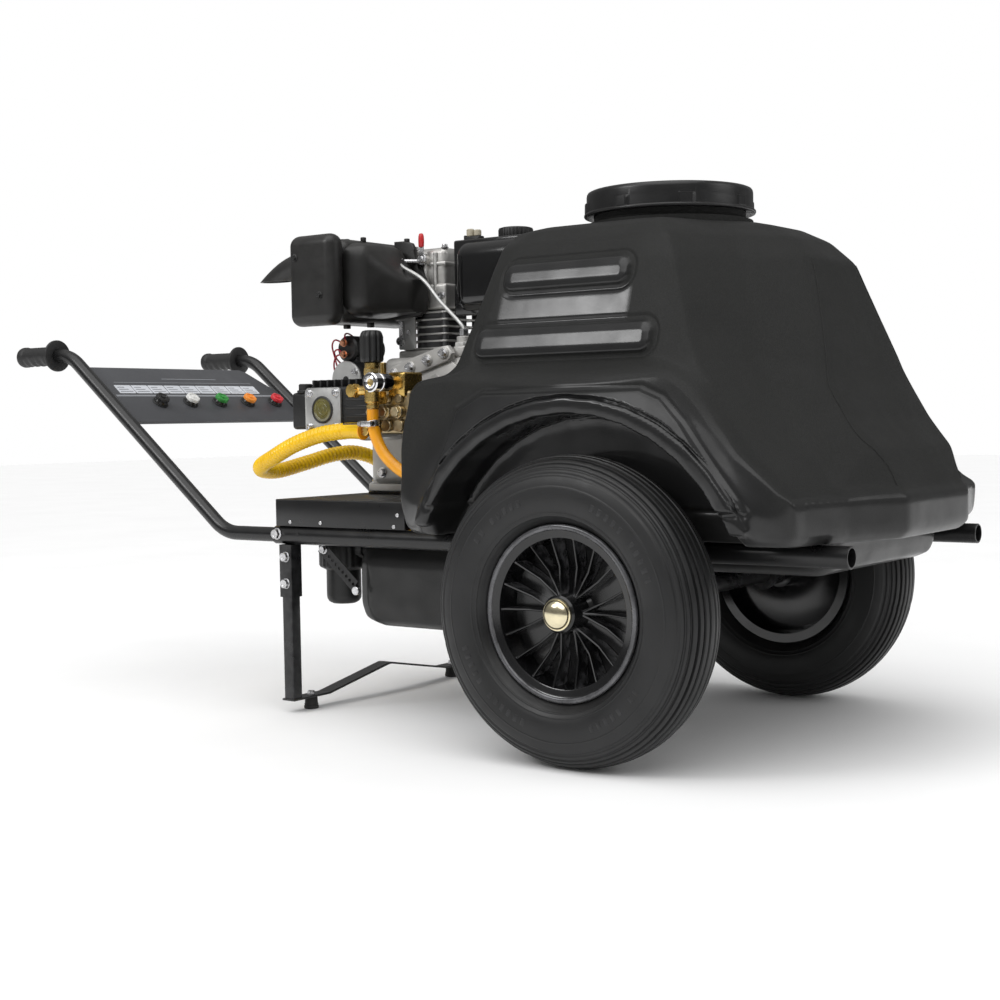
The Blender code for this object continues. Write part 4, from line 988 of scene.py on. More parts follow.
def elbow(bm):
    """The exhaust's end: a short pipe that dips and is cut off level."""
    line = ((-0.188, 0.702), (-0.212, 0.7022), (-0.238, 0.7), (-0.264, 0.692), (-0.29, 0.6775),
            (-0.322, 0.654))
    path = smooth_route([(x, -0.085, z) for x, z in line], 0.003)
    part = tube(bmesh.new(), path, 0.019, 48, bore=0.0172)
    every = part.verts[:] + part.edges[:] + part.faces[:]
    bmesh.ops.bisect_plane(part, geom=every, plane_co=(0, 0, 0.6765), plane_no=(0, 0, -1), clear_outer=True)
    bmesh.ops.bridge_loops(part, edges=[edge for edge in part.edges if edge.is_boundary])
    return add(bm, part)


def make_muffler():
    low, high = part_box("muffler_cover")
    build("muffler_cover_fine", "exhaust", (box, low, high, 0.017, 8), smooth=50)
    bm = bmesh.new()
    box(bm, (-0.198, -0.118, 0.601), (-0.113, 0.1, 0.733), 0.02, 7)
    box(bm, (-0.1925, -0.122, 0.6065), (-0.1185, -0.1176, 0.7275), 0.0019, 2)
    rings = []
    for share in (i / 14 for i in range(15)):
        ease = share * share * (3 - 2 * share)
        x = -0.122 + 0.076 * share
        near = -0.116 + 0.03 * ease + 0.05 * max(0.0, share - 0.45) / 0.55
        far = 0.004
        bottom = 0.609 + 0.008 * ease
        top = 0.727 - 0.006 * share - 0.052 * max(0.0, ease - 0.35) / 0.65
        half_y, half_z = (far - near) / 2, (top - bottom) / 2
        cy, cz = (far + near) / 2, (top + bottom) / 2
        ring = []
        for k in range(36):
            a = 2 * pi * k / 36
            c, s = cos(a), sin(a)
            power = 0.42
            ring.append((x, cy + half_y * abs(c) ** power * (1 if c >= 0 else -1),
                         cz + half_z * abs(s) ** power * (1 if s >= 0 else -1)))
        rings.append(ring)
    loft(bm, rings)
    outline = [(-0.113, 0.6075), (-0.062, 0.613), (-0.05, 0.624), (-0.047, 0.648), (-0.05, 0.672),
               (-0.066, 0.69), (-0.07, 0.72), (-0.076, 0.73), (-0.09, 0.7345), (-0.113, 0.735)]
    prism(bm, outline, 0.008, upright(0, 0.0105, 0), 0.0022, 3)
    for x, y in ((-0.165, -0.06), (-0.13, -0.06), (-0.092, 0.003)):
        box(bm, (x, y, 0.731), (x + 0.007, y + 0.007, 0.7385), 0.001, 2)
    for x in (-0.17, -0.12):
        box(bm, (x, -0.06, 0.595), (x + 0.008, -0.05, 0.603), 0.001, 2)
    elbow(bm)
    piece("muffler_fine", bm, "exhaust", smooth=45)
    build("muffler_screws", "black",
          *((bolt, (x, low.y + 0.0001, z), (0, -1, 0), 0.0082, 0.003, 0.0058)
            for x, z in ((-0.185, 0.703), (-0.134, 0.642))), slot="exhaust_black")
    build("muffler_flange_bolts", "zinc",
          *((bolt, (x, -0.0018, z), (0, -1, 0), 0.011, 0.006, 0.008)
            for x, z in ((-0.064, 0.661), (-0.1, 0.623))))


def make_fuel_tank():
    low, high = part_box("fuel_tank")
    build("fuel_tank_fine", "fuel",
          (box, low + Vector((0.003, 0, 0.003)), high - Vector((0.003, 0, 0.002)), 0.026, 9),
          *((box, (low.x, low.y + y, low.z), (high.x, low.y + y + 0.007, high.z - 0.0008), 0.0034, 3)
            for y in (0.012, 0.15)), smooth=50)
    low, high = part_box("fuel_cap")
    middle = (low + high) / 2
    profile = ((0, 0), (0.0262, 0), (0.0275, 0.0012), (0.0275, 0.013), (0.0262, 0.0158), (0.0225, 0.017),
               (0.0215, 0.016), (0.0105, 0.016), (0.0095, 0.0178), (0, 0.018))

    def knurl(angle, radius, height):
        return radius - 0.0007 * (0.5 + 0.5 * cos(30 * angle)) if radius > 0.027 else radius

    build("fuel_cap_fine", "black",
          (turned, profile, (middle.x, middle.y, low.z), dict(steps=180, shape=knurl)), body="fuel_cap")
    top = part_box("fuel_tank")[1].z - 0.0015
    build("fuel_bracket", "black",
          (box, (0.033, -0.001, top - 0.0105), (0.062, 0.014, top + 0.006), 0.0022, 3),
          (box, (0.03, 0.0015, top - 0.004), (0.034, 0.012, top + 0.008), 0.0012, 2))
    build("fuel_plugs", "beige",
          (rod, (0.0405, 0.006, top + 0.0055), (0.0405, 0.006, top + 0.0175), 0.0062, 28, 0.0016),
          (rod, (0.0545, 0.006, top + 0.0055), (0.0545, 0.006, top + 0.0155), 0.0058, 28, 0.0016))


def make_cylinder():
    low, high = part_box("cylinder")
    middle = (low + high) / 2
    build("cylinder_core", "iron",
          (rod, (middle.x, middle.y, low.z), (middle.x, middle.y, high.z), 0.0405, 64),
          *((rod, (middle.x + x, middle.y + y, low.z), (middle.x + x, middle.y + y, high.z), 0.0055, 24)
            for x, y in ((-0.038, -0.04), (0.038, -0.04), (-0.038, 0.04), (0.038, 0.04))))
    bm = bmesh.new()
    half = 0.048
    for i in range(6):
        z = 0.56 + i * 0.0115
        outline = rounded((middle.x - half, middle.y - half), (middle.x + half, middle.y + half), 0.012, 6)
        prism(bm, outline, 0.0028, Matrix.Translation((0, 0, z)), 0.0007, 2)
    piece("cylinder_fine", bm, "cast")
    low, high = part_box("rocker_cover")
    x0, y0 = CRANK_X - 0.046, 0.0135
    build("rocker_cover_fine", "cast",
          (box, (x0, y0, low.z), (CRANK_X + 0.048, 0.108, 0.664), 0.005, 3),
          (box, (CRANK_X - 0.026, 0.0175, 0.655), (CRANK_X + 0.044, 0.104, high.z), 0.01, 5),
          *((rod, (CRANK_X + x, 0.017, 0.652), (CRANK_X + x, 0.017, high.z - 0.008), 0.0042, 20, 0.001)
            for x in (-0.014, 0.006, 0.026)),
          (box, (CRANK_X - 0.03, 0.0145, 0.6925), (CRANK_X + 0.047, 0.106, 0.6985), 0.002, 2),
          (rod, (-0.0583, 0.03, 0.703), (-0.0583, 0.01, 0.703), 0.0072, 28, 0.0008),
          (box, (CRANK_X - 0.006, 0.008, 0.625), (CRANK_X + 0.01, 0.014, 0.655), 0.002, 2))
    build("rocker_bolts", "zinc",
          *((bolt, (CRANK_X + x, y, high.z - 0.001), (0, 0, 1), 0.0085, 0.0045, 0.006)
            for x, y in ((-0.02, 0.026), (0.038, 0.026), (-0.02, 0.096), (0.038, 0.096))),
          *((bolt, (CRANK_X + x, y0 + 0.0002, 0.644), (0, -1, 0), 0.0085, 0.0042, 0.006)
            for x in (-0.039, 0.04)))
    x, y, z = -0.0583, 0.0055, 0.703
    bm = bmesh.new()
    rod(bm, (x, y - 0.0005, z), (x, y + 0.0036, z), 0.0088, 32, 0.0006)
    outline = [(-0.006, -0.002), (0.006, -0.002), (0.0044, 0.013), (0.0036, 0.026), (-0.0036, 0.026),
               (-0.0044, 0.013)]
    prism(bm, outline, 0.0024, upright(x, y + 0.0014, z), 0.0004)
    bolt(bm, (x, y - 0.0008, z), (0, -1, 0), 0.008, 0.004, 0.0052)
    piece("decompression_lever_fine", bm, "zinc", body="decompression_lever", slot="red_sleeve")
    bm = bmesh.new()
    sleeve = [(0.0, 0.0), (0.0042, 0.0), (0.005, 0.0015), (0.0054, 0.01), (0.005, 0.017), (0.0036, 0.0212),
              (0, 0.0222)]

    def flat(angle, radius, height):
        return radius * (1.0 - 0.22 * abs(sin(angle)))

    turned(bm, sleeve, (x, y, z + 0.0195), steps=28, shape=flat)
    piece("decompression_sleeve", bm, "red", body="decompression_lever", smooth=60)


def spun(place, count, offset=0.0):
    """The same place turned round its own axis, count times in equal steps, the first by offset steps."""
    for k in range(count):
        yield place @ Matrix.Rotation(2 * pi * (k + offset) / count, 4, "Z")


def make_crankcase():
    base = 0.3333
    bm = bmesh.new()
    box(bm, (-0.122, -0.058, base + 0.012), (0.062, 0.155, 0.48), 0.014, 5)
    box(bm, (-0.132, -0.05, base), (0.055, 0.15, base + 0.013), 0.0025, 3)
    box(bm, (-0.092, -0.056, 0.45), (0.072, 0.15, 0.545), 0.012, 5)
    box(bm, (-0.114, 0.01, 0.53), (0.02, 0.118, 0.559), 0.004, 3)
    rod(bm, (0.052, -0.03, 0.53), (0.052, -0.03, 0.5745), 0.0115, 32, 0.001)
    rod(bm, (0.052, -0.03, 0.556), (0.052, -0.03, 0.5655), 0.015, 6, 0.001)
    side = upright(0, -0.0565, 0)
    flange = [(-0.072, 0.511), (-0.055, 0.506), (0.048, 0.536), (0.056, 0.548), (0.047, 0.56),
              (0.03, 0.558), (-0.065, 0.532), (-0.074, 0.522)]
    prism(bm, flange, 0.01, side, 0.002, 3)
    panel = [(-0.06, 0.46), (0.064, 0.46), (0.066, 0.525), (0.048, 0.537), (-0.054, 0.508), (-0.064, 0.495)]
    prism(bm, panel, 0.004, side, 0.0015, 2)
    flange_bolts = ((-0.06, 0.5195), (-0.026, 0.5285), (0.008, 0.5385), (0.04, 0.548))
    for x, z in flange_bolts:
        rod(bm, (x, -0.056, z), (x, -0.069, z), 0.0095, 28, 0.0012)
    rod(bm, (0.02, -0.056, 0.506), (0.02, -0.064, 0.506), 0.011, 32, 0.0012)
    box(bm, (0.048, -0.054, 0.542), (0.07, -0.01, 0.559), 0.003, 3)
    for x, way in ((-0.122, 1), (0.045, -1)):
        place = upright(x, -0.044, base + 0.0125) @ Matrix.Diagonal((way, 1, 1, 1))
        prism(bm, [(0, 0), (0.012, 0), (0, 0.03)], 0.006, place, 0.001)
    piece("crankcase_fine", bm, "case", smooth=40)
    build("crankcase_bolts", "zinc",
          *((bolt, (x, -0.069, z), (0, -1, 0), 0.01, 0.0055, 0.0075) for x, z in flange_bolts),
          *((bolt, (x, y, base + 0.0128), (0, 0, 1), 0.012, 0.0062, 0.0095)
            for x, y in ((-0.1235, -0.04), (0.044, -0.04), (-0.1235, 0.14), (0.044, 0.14))),
          (bolt, (-0.095, -0.0582, 0.364), (0, -1, 0), 0.0115, 0.005, 0.0085))
    # A near-black disc on the boss: painted shade for its hole
    build("crankcase_hole", "hole",
          (turned, ((0, 0), (0.0052, 0), (0.0052, 0.0006), (0, 0.0006)), (0.02, -0.064, 0.506),
           (0, -1, 0), 24), slot="cast_aluminium")
    repaint("zinc", "crankshaft")
    repaint("iron", "flywheel")
    low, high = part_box("pump_flange")
    bm = bmesh.new()
    profile = ((0.036, 0.0002), (0.0455, 0.0002), (0.046, 0.001), (0.046, 0.008), (0.0415, 0.011),
               (0.0415, 0.06), (0.046, 0.064), (0.046, 0.0728), (0.036, 0.0728))
    turned(bm, profile, (CRANK_X, low.y, CRANK_Z), (0, 1, 0), 64, ring=True)
    for place in spun(axis_matrix((0, 1, 0), (CRANK_X, low.y, CRANK_Z)), 4, 0.5):
        box(bm, (-0.003, 0.04, 0.01), (0.003, 0.0455, 0.064), 0.001, 2, place)
    piece("pump_flange_fine", bm, "case")


def make_fan_housing():
    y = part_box("fan_housing")[0].y
    bm = bmesh.new()
    shell = ((0.1165, 0), (0.118, 0.0015), (0.118, 0.058), (0.115, 0.067), (0.108, 0.0728), (0.098, 0.0745),
             (0.056, 0.078), (0.055, 0.094), (0.053, 0.096), (0, 0.096), (0, 0.093), (0.052, 0.093),
             (0.052, 0.075), (0.105, 0.071), (0.115, 0.06), (0.115, 0))
    turned(bm, shell, (CRANK_X, y, CRANK_Z), (0, 1, 0), 96, ring=True)
    around = axis_matrix((0, 1, 0), (CRANK_X, y, CRANK_Z))
    for place in spun(around, 24):
        box(bm, (0.06, -0.0013, 0.076), (0.096, 0.0013, 0.0785), 0.0006, 2, place)
    for place in spun(around, 8):
        box(bm, (0.02, -0.0022, 0.0955), (0.048, 0.0022, 0.0964), 0.0002, 1, place)
    piece("fan_housing_fine", bm, "black")
    # Near-black strips between the ribs: painted shade for the vents
    build("fan_vents", "hole",
          *((box, (0.063, -0.0045, 0.0752), (0.093, 0.0045, 0.0766), 0.0006, 2, place)
            for place in spun(around, 24, 0.5)), slot="black_plastic")
    build("fan_bolts", "zinc",
          *((bolt, around @ Vector((0.108 * cos(a), 0.108 * sin(a), 0.0722)), (0, 1, 0),
             0.008, 0.0035, 0.005) for a in (radians(45 + 90 * k) for k in range(4))))
    low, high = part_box("recoil_handle")
    middle = (low + high) / 2
    bm = bmesh.new()
    turned(bm, ((0, 0), (0.006, 0), (0.006, 0.01), (0.0085, 0.016), (0, 0.018)),
           (middle.x, middle.y, low.z), steps=32)
    rings = []
    for i in range(25):
        s = -1 + 2 * i / 24
        half = 0.0105 * (1 - abs(s) ** 6) ** 0.5 + 0.0004
        thick = 0.0093 * (1 - abs(s) ** 6) ** 0.5 + 0.0004
        rings.append([(middle.x + 0.0448 * s, middle.y + half * cos(a),
                       high.z - 0.01 - 0.001 * s * s + thick * sin(a))
                      for a in (2 * pi * k / 24 for k in range(24))])
    loft(bm, rings)
    piece("recoil_handle_fine", bm, "black", body="recoil_handle", smooth=50)
    foot = Vector((middle.x, middle.y, low.z))
    rope = tube(bmesh.new(), [foot + Vector((0, 0, -0.026 + 0.001 * i)) for i in range(31)], 0.0021, 12)
    mesh = bpy.data.meshes.new("recoil_rope")
    rope.to_mesh(mesh)
    rope.free()
    made = bpy.data.objects.new("recoil_rope", mesh)
    bpy.context.scene.collection.objects.link(made)
    mesh.materials.append(FINISH["seal"])
    mesh.shade_smooth()
    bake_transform(made)


STARTER_WIRES = (((-0.1365, -0.099, 0.57), (-0.15, -0.102, 0.575), (-0.162, -0.096, 0.566),
                  (-0.164, -0.088, 0.548), (-0.157, -0.09, 0.533), (-0.149, -0.09, 0.527)),
                 ((-0.1365, -0.099, 0.552), (-0.147, -0.102, 0.55), (-0.156, -0.099, 0.54),
                  (-0.159, -0.094, 0.526), (-0.152, -0.09, 0.515)),
                 ((-0.134, -0.096, 0.571), (-0.14, -0.09, 0.583), (-0.15, -0.07, 0.586),
                  (-0.152, -0.05, 0.579), (-0.148, -0.03, 0.57)),
                 ((-0.138, -0.098, 0.553), (-0.15, -0.096, 0.56), (-0.163, -0.09, 0.556),
                  (-0.166, -0.08, 0.545), (-0.16, -0.07, 0.535), (-0.15, -0.06, 0.53)))


def make_engine_extras():
    low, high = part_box("air_cleaner")
    bm = box(bmesh.new(), low, high, 0.018, 7)
    for k in range(7):
        z = low.z + 0.022 + k * 0.0085
        box(bm, (high.x - 0.0012, low.y + 0.022, z), (high.x + 0.0006, high.y - 0.022, z + 0.0035), 0.0006,
            2)
    rod(bm, (low.x + 0.039, high.y - 0.065, high.z - 0.001),
        (low.x + 0.039, high.y - 0.065, high.z + 0.006), 0.009, 32, 0.001)
    piece("air_cleaner_fine", bm, "black", smooth=50)
    low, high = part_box("speed_plate")
    build("speed_plate_fine", "plate",
          (prism, rounded((low.x, low.z), (high.x, high.z), 0.003, 4), high.y - low.y,
           upright(0, high.y, 0), 0.0004))
    # Near-black strips on the plate: painted shade for its slots
    bm = bmesh.new()
    for k in range(6):
        z = low.z + 0.01 + k * 0.0062
        box(bm, (low.x + 0.0022, low.y - 0.0004, z), (low.x + 0.009, low.y + 0.0002, z + 0.0034), 0.0001, 1)
    piece("speed_slots", bm, "hole", slot="bright_steel")
    build("speed_bolt", "zinc",
          (bolt, (low.x + 0.02, low.y - 0.0001, low.z + 0.027), (0, -1, 0), 0.008, 0.0013))
    repaint("zinc", "speed_lever")
    bm = bmesh.new()
    x, z = -0.1265, 0.5115
    rod(bm, (x, -0.101, z), (x, 0.0, z), 0.029, 48, 0.002)
    rod(bm, (x, -0.05, z), (x, -0.0465, z), 0.0298, 48, 0.0008)
    rod(bm, (-0.1365, -0.09, 0.561), (-0.1365, -0.018, 0.561), 0.0208, 40, 0.003)
    box(bm, (-0.15, -0.085, 0.535), (-0.12, -0.025, 0.55), 0.003, 2)
    piece("starter_motor_fine", bm, "motor", smooth=40)
    build("starter_end_plate", "plate", (rod, (x, -0.105, z), (x, -0.1008, z), 0.0296, 56, 0.0008))
    # Near-black discs on the end plate: painted shade for its holes
    build("starter_end_holes", "hole",
          (rod, (x, -0.1054, z), (x, -0.1049, z), 0.0058, 28),
          (rod, (x + 0.015, -0.1054, z - 0.004), (x + 0.015, -0.1049, z - 0.004), 0.0022, 20),
          slot="starter_black")
    build("starter_end_bolts", "zinc",
          (bolt, (x + 0.0195, -0.1049, z + 0.0125), (0, -1, 0), 0.0075, 0.0036, 0.005),
          (bolt, (x - 0.0195, -0.1049, z - 0.0125), (0, -1, 0), 0.0075, 0.0036, 0.005))
    bm = bmesh.new()
    for z0 in (0.57, 0.552):
        rod(bm, (-0.1365, -0.0895, z0), (-0.1365, -0.103, z0), 0.0032, 20, 0.0004)
        bolt(bm, (-0.1365, -0.096, z0), (0, -1, 0), 0.009, 0.0045, 0.0062)
    piece("starter_terminals", bm, "copper")
    build("starter_wires", "wire",
          *((tube, smooth_route(route, 0.002), 0.00135, 10) for route in STARTER_WIRES),
          smooth=60)
    route = ((-0.083, -0.016, 0.7), (-0.078, -0.024, 0.695), (-0.0666, -0.029, 0.688),
             (-0.0276, -0.03, 0.6665), (0.007, -0.03, 0.63), (0.04, -0.03, 0.6), (0.051, -0.03, 0.587),
             (0.052, -0.03, 0.5767))
    build("injection_pipe_fine", "plate", (tube, smooth_route(route, 0.002), 0.003, 20), smooth=60)
    build("injection_nuts", "zinc",
          (rod, (0.052, -0.03, 0.5755), (0.052, -0.03, 0.586), 0.0072, 6, 0.0006),
          (rod, (-0.084, -0.0135, 0.7), (-0.0825, -0.019, 0.6995), 0.0058, 6, 0.0005),
          (rod, (-0.084, -0.0135, 0.7), (-0.064, 0.006, 0.7), 0.004, 20, 0.0004))


# ---------------------------------------------------------------- pump group

def make_pump():
    face = PUMP_FACE
    bm = bmesh.new()
    box(bm, (-0.1005, face + 0.0005, 0.427), (0.019, -0.132, 0.498), 0.0045, 4)
    box(bm, (-0.1375, face + 0.004, 0.435), (-0.09, -0.14, 0.491), 0.006, 4)
    box(bm, (-0.1382, face + 0.008, 0.4615), (-0.098, -0.146, 0.464), 0.0008, 2)
    for i in range(8):
        x = -0.0955 + i * 0.0143
        box(bm, (x, face + 0.006, 0.49), (x + 0.004, -0.136, 0.5088), 0.001, 2)
    for i in range(4):
        z = 0.438 + i * 0.013
        box(bm, (-0.024, face - 0.0006, z), (0.0185, face + 0.004, z + 0.006), 0.0012, 2)
    piece("pump_body_fine", bm, "pump", smooth=40)
    build("pump_oil_cap", "black",
          (rod, (-0.118, face + 0.016, 0.49), (-0.118, face + 0.016, 0.504), 0.0105, 32, 0.0015),
          (rod, (-0.118, face + 0.016, 0.49), (-0.118, face + 0.016, 0.4945), 0.013, 32, 0.001),
          slot="pump_black")
    low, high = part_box("pump_side_plate")
    build("pump_side_plate_fine", "plate",
          (prism, rounded((low.x, low.z), (high.x, high.z), 0.0065, 5), high.y - low.y,
           upright(0, high.y, 0), 0.0006), slot="cast_aluminium")
    sight = (CRANK_X - 0.0015, low.y, 0.464), (0, -1, 0), 56
    ring = ((0.0172, 0), (0.0205, 0), (0.0205, 0.0014), (0.0192, 0.0022), (0.0176, 0.0018),
            (0.0172, 0.0008))
    build("sight_glass_ring", "black", (turned, ring, *sight, dict(ring=True)), slot="sight_glass")
    glass = ((0, 0.0002), (0.0172, 0.0002), (0.0172, 0.0011), (0.014, 0.0015), (0.0134, 0.0008),
             (0.01, 0.0008), (0.0094, 0.0016), (0.007, 0.0016), (0.0064, 0.0009), (0.004, 0.0009),
             (0.0035, 0.0014), (0, 0.0014))
    build("sight_glass_fine", "oil", (turned, glass, *sight))
    bm = bmesh.new()
    for x in (low.x + 0.009, high.x - 0.009):
        for z in (low.z + 0.008, high.z - 0.008):
            turned(bm, ((0, 0), (0.0062, 0), (0.0062, 0.0007), (0, 0.0007)), (x, low.y, z), (0, -1, 0), 24)
            screw(bm, (x, low.y - 0.0006, z), (0, -1, 0), 0.0047, 0.0042)
    piece("pump_plate_screws", bm, "zinc")


def make_pump_head():
    face = PUMP_FACE
    x, z = OUTLET_X, OUTLET_Z
    bm = bmesh.new()
    box(bm, (0.0195, face + 0.005, 0.4265), (0.095, -0.14, 0.49), 0.006, 4)
    for i in range(3):
        cx = 0.032 + i * 0.023
        rod(bm, (cx, face + 0.004, 0.459), (cx, face - 0.006, 0.459), 0.0098, 36, 0.001)
        rod(bm, (cx, face - 0.005, 0.459), (cx, face - 0.011, 0.459), 0.008, 6, 0.0008)
        rod(bm, (cx, face + 0.004, 0.439), (cx, face - 0.003, 0.439), 0.009, 36, 0.001)
        rod(bm, (cx, face + 0.004, 0.478), (cx, face - 0.002, 0.478), 0.0065, 28, 0.0008)
    piece("pump_head_casting", bm, "dark_brass", smooth=40)
    build("pump_head_outlet", "brass",
          (box, (x - 0.014, face, 0.48), (x + 0.018, -0.18, 0.516), 0.0035, 3),
          (rod, (x - 0.03, face + 0.01, 0.5075), (x - 0.03, face + 0.01, 0.531), 0.0046, 24, 0.0008),
          (rod, (x - 0.03, face + 0.01, 0.485), (x - 0.03, face + 0.01, 0.5075), 0.007, 6, 0.0008),
          (rod, (x, face + 0.004, z), (x, -0.275, z), 0.0094, 36),
          (rod, (0.0335, face + 0.006, 0.4318), (0.0335, -0.2475, 0.4318), 0.007, 32, 0.001),
          (rod, (0.0262, -0.2405, 0.4318), (0.0345, -0.2405, 0.4318), 0.0068, 28, 0.0004),
          replaces=("pump_head",), smooth=40)
    build("outlet_collar_chrome", "chrome",
          (pipe, (x, -0.2785, z), (x, -0.263, z), 0.0142, 0.0099, 64, 0.0018),
          (pipe, (x, -0.2615, z), (x, -0.256, z), 0.0132, 0.0099, 64, 0.001),
          body="outlet_collar", replaces=("outlet_collar",), smooth=40)
    nose = ((0.0052, 0), (0.0094, 0), (0.0094, 0.002), (0.007, 0.003), (0.0052, 0.002))
    build("outlet_nose", "chrome",
          (turned, nose, (x, -0.2751, z), (0, -1, 0), 48, dict(ring=True)), smooth=40)
    barrel = ((0.0099, 0), (0.0122, 0), (0.0125, 0.001), (0.0125, 0.0145), (0.0118, 0.0165),
              (0.0118, 0.0236), (0.0099, 0.0236))
    build("outlet_collar_barrel", "dark_chrome",
          (turned, barrel, (x, -0.2386, z), (0, -1, 0), 64, dict(ring=True)),
          body="outlet_collar", smooth=40)


def make_unloader():
    x, y = 0.049, -0.2455
    face = PUMP_FACE
    build("unloader_body_fine", "brass",
          (rod, (x, y, 0.4645), (x, y, 0.53), 0.0082, 36, 0.0006),
          (rod, (x, y, 0.512), (x, y, 0.522), 0.0125, 6, 0.001),
          (rod, (x, y, 0.5215), (x, y, 0.5303), 0.0108, 36, 0.001),
          (rod, (x, y, 0.472), (x, y, 0.496), 0.0118, 40, 0.002),
          (rod, (x, y, 0.464), (x, y, 0.47), 0.0092, 36, 0.0008),
          (box, (x - 0.009, y, 0.47), (x + 0.008, face - 0.0003, 0.489), 0.002, 3),
          (rod, (x - 0.036, y, 0.4903), (x, y, 0.4903), 0.007, 32, 0.0008), smooth=40)
    bm = bmesh.new()
    cap = ((0, 0), (0.0105, 0), (0.011, 0.003), (0.011, 0.0095), (0.009, 0.012), (0.003, 0.0124),
           (0, 0.0124))

    def hexagon(angle, radius, height):
        return six_sided(angle, radius) if 0.002 < height < 0.01 else radius

    turned(bm, cap, (x - 0.0324, y + 0.001, 0.4903), (0, -1, 0), 48, shape=hexagon)
    piece("unloader_hex_cap", bm, "brass", smooth=25)
    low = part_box("unloader_knob")[0].z
    profile = [(0, 0), (0.015, 0), (0.0162, 0.0012), (0.017, 0.004)]
    profile += [(0.017, 0.004 + 0.032 * i / 8) for i in range(1, 9)]
    profile += [(0.0162, 0.0385), (0.015, 0.042), (0.0128, 0.0446), (0.009, 0.0455), (0, 0.0455)]

    def ribs(angle, radius, height):
        if radius < 0.014:
            return radius
        return radius - 0.0021 * (0.5 - 0.5 * cos(10 * angle)) ** 3

    build("unloader_knob_fine", "black",
          (turned, profile, (x, y, low), dict(steps=160, shape=ribs)), body="unloader_knob", smooth=40)
    band = smooth_route(BYPASS_ROUTE, 0.003)[6:9]
    out, high = 0.0094, 0.009
    profile = ((BYPASS_D / 2 + 0.0002, 0), (out - 0.0002, 0), (out, 0.0006), (out, high - 0.0006),
               (out - 0.0002, high), (BYPASS_D / 2 + 0.0002, high))
    build("hose_clamp_band", "zinc",
          (turned, profile, band[0] + Vector((0, 0, 0.002)), band[-1] - band[0], 56, True))
    z0 = band[0].z - 0.0025
    build("hose_clamp_screw", "zinc",
          (box, (x - 0.013, y - 0.013, z0 - 0.0042), (x + 0.006, y - 0.008, z0 + 0.0042), 0.0012, 3),
          (rod, (x - 0.013, y - 0.0106, z0), (x - 0.0185, y - 0.0106, z0), 0.0042, 6, 0.0005))
    build("hose_clamp_pin", "dark_chrome",
          (rod, (x - 0.018, y - 0.0106, z0), (x - 0.048, y - 0.0106, z0), 0.0011, 14),
          (rod, (x + 0.006, y - 0.0106, z0), (x + 0.0095, y - 0.0106, z0), 0.0036, 20, 0.0004),
          slot="bright_steel")
    build("suction_cuff_ring", "orange",
          (rod, (0.0265, -0.2405, 0.4318), (0.0245, -0.2405, 0.4318), 0.013, 40, 0.0004),
          slot="hose_yellow")


def make_filter():
    x, y = -0.108, -0.14
    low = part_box("water_filter")[0].z
    profile = ((0, 0), (0.018, 0), (0.0235, 0.003), (0.0265, 0.008), (0.027, 0.014), (0.027, 0.052),
               (0.029, 0.0535), (0.036, 0.057), (0.038, 0.06), (0.038, 0.09), (0.0365, 0.093),
               (0.033, 0.0965), (0.025, 0.098), (0, 0.098))

    def ribs(angle, radius, height):
        return radius - 0.0012 * (0.5 - 0.5 * cos(24 * angle)) if radius > 0.0375 else radius

    bm = turned(bmesh.new(), profile, (x, y, low), steps=144, shape=ribs)
    rod(bm, (x, y, 0.249), (x, -0.0683, 0.249), 0.0094, 36, 0.0006)
    rod(bm, (x, -0.1, 0.249), (x, -0.088, 0.249), 0.0145, 6, 0.001)
    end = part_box("water_filter")[1].x
    rod(bm, (x, y, 0.249), (end, y, 0.249), 0.0094, 36, 0.0006)
    rod(bm, (x + 0.034, y, 0.249), (x + 0.046, y, 0.249), 0.0145, 6, 0.001)
    piece("water_filter_fine", bm, "black", smooth=40)


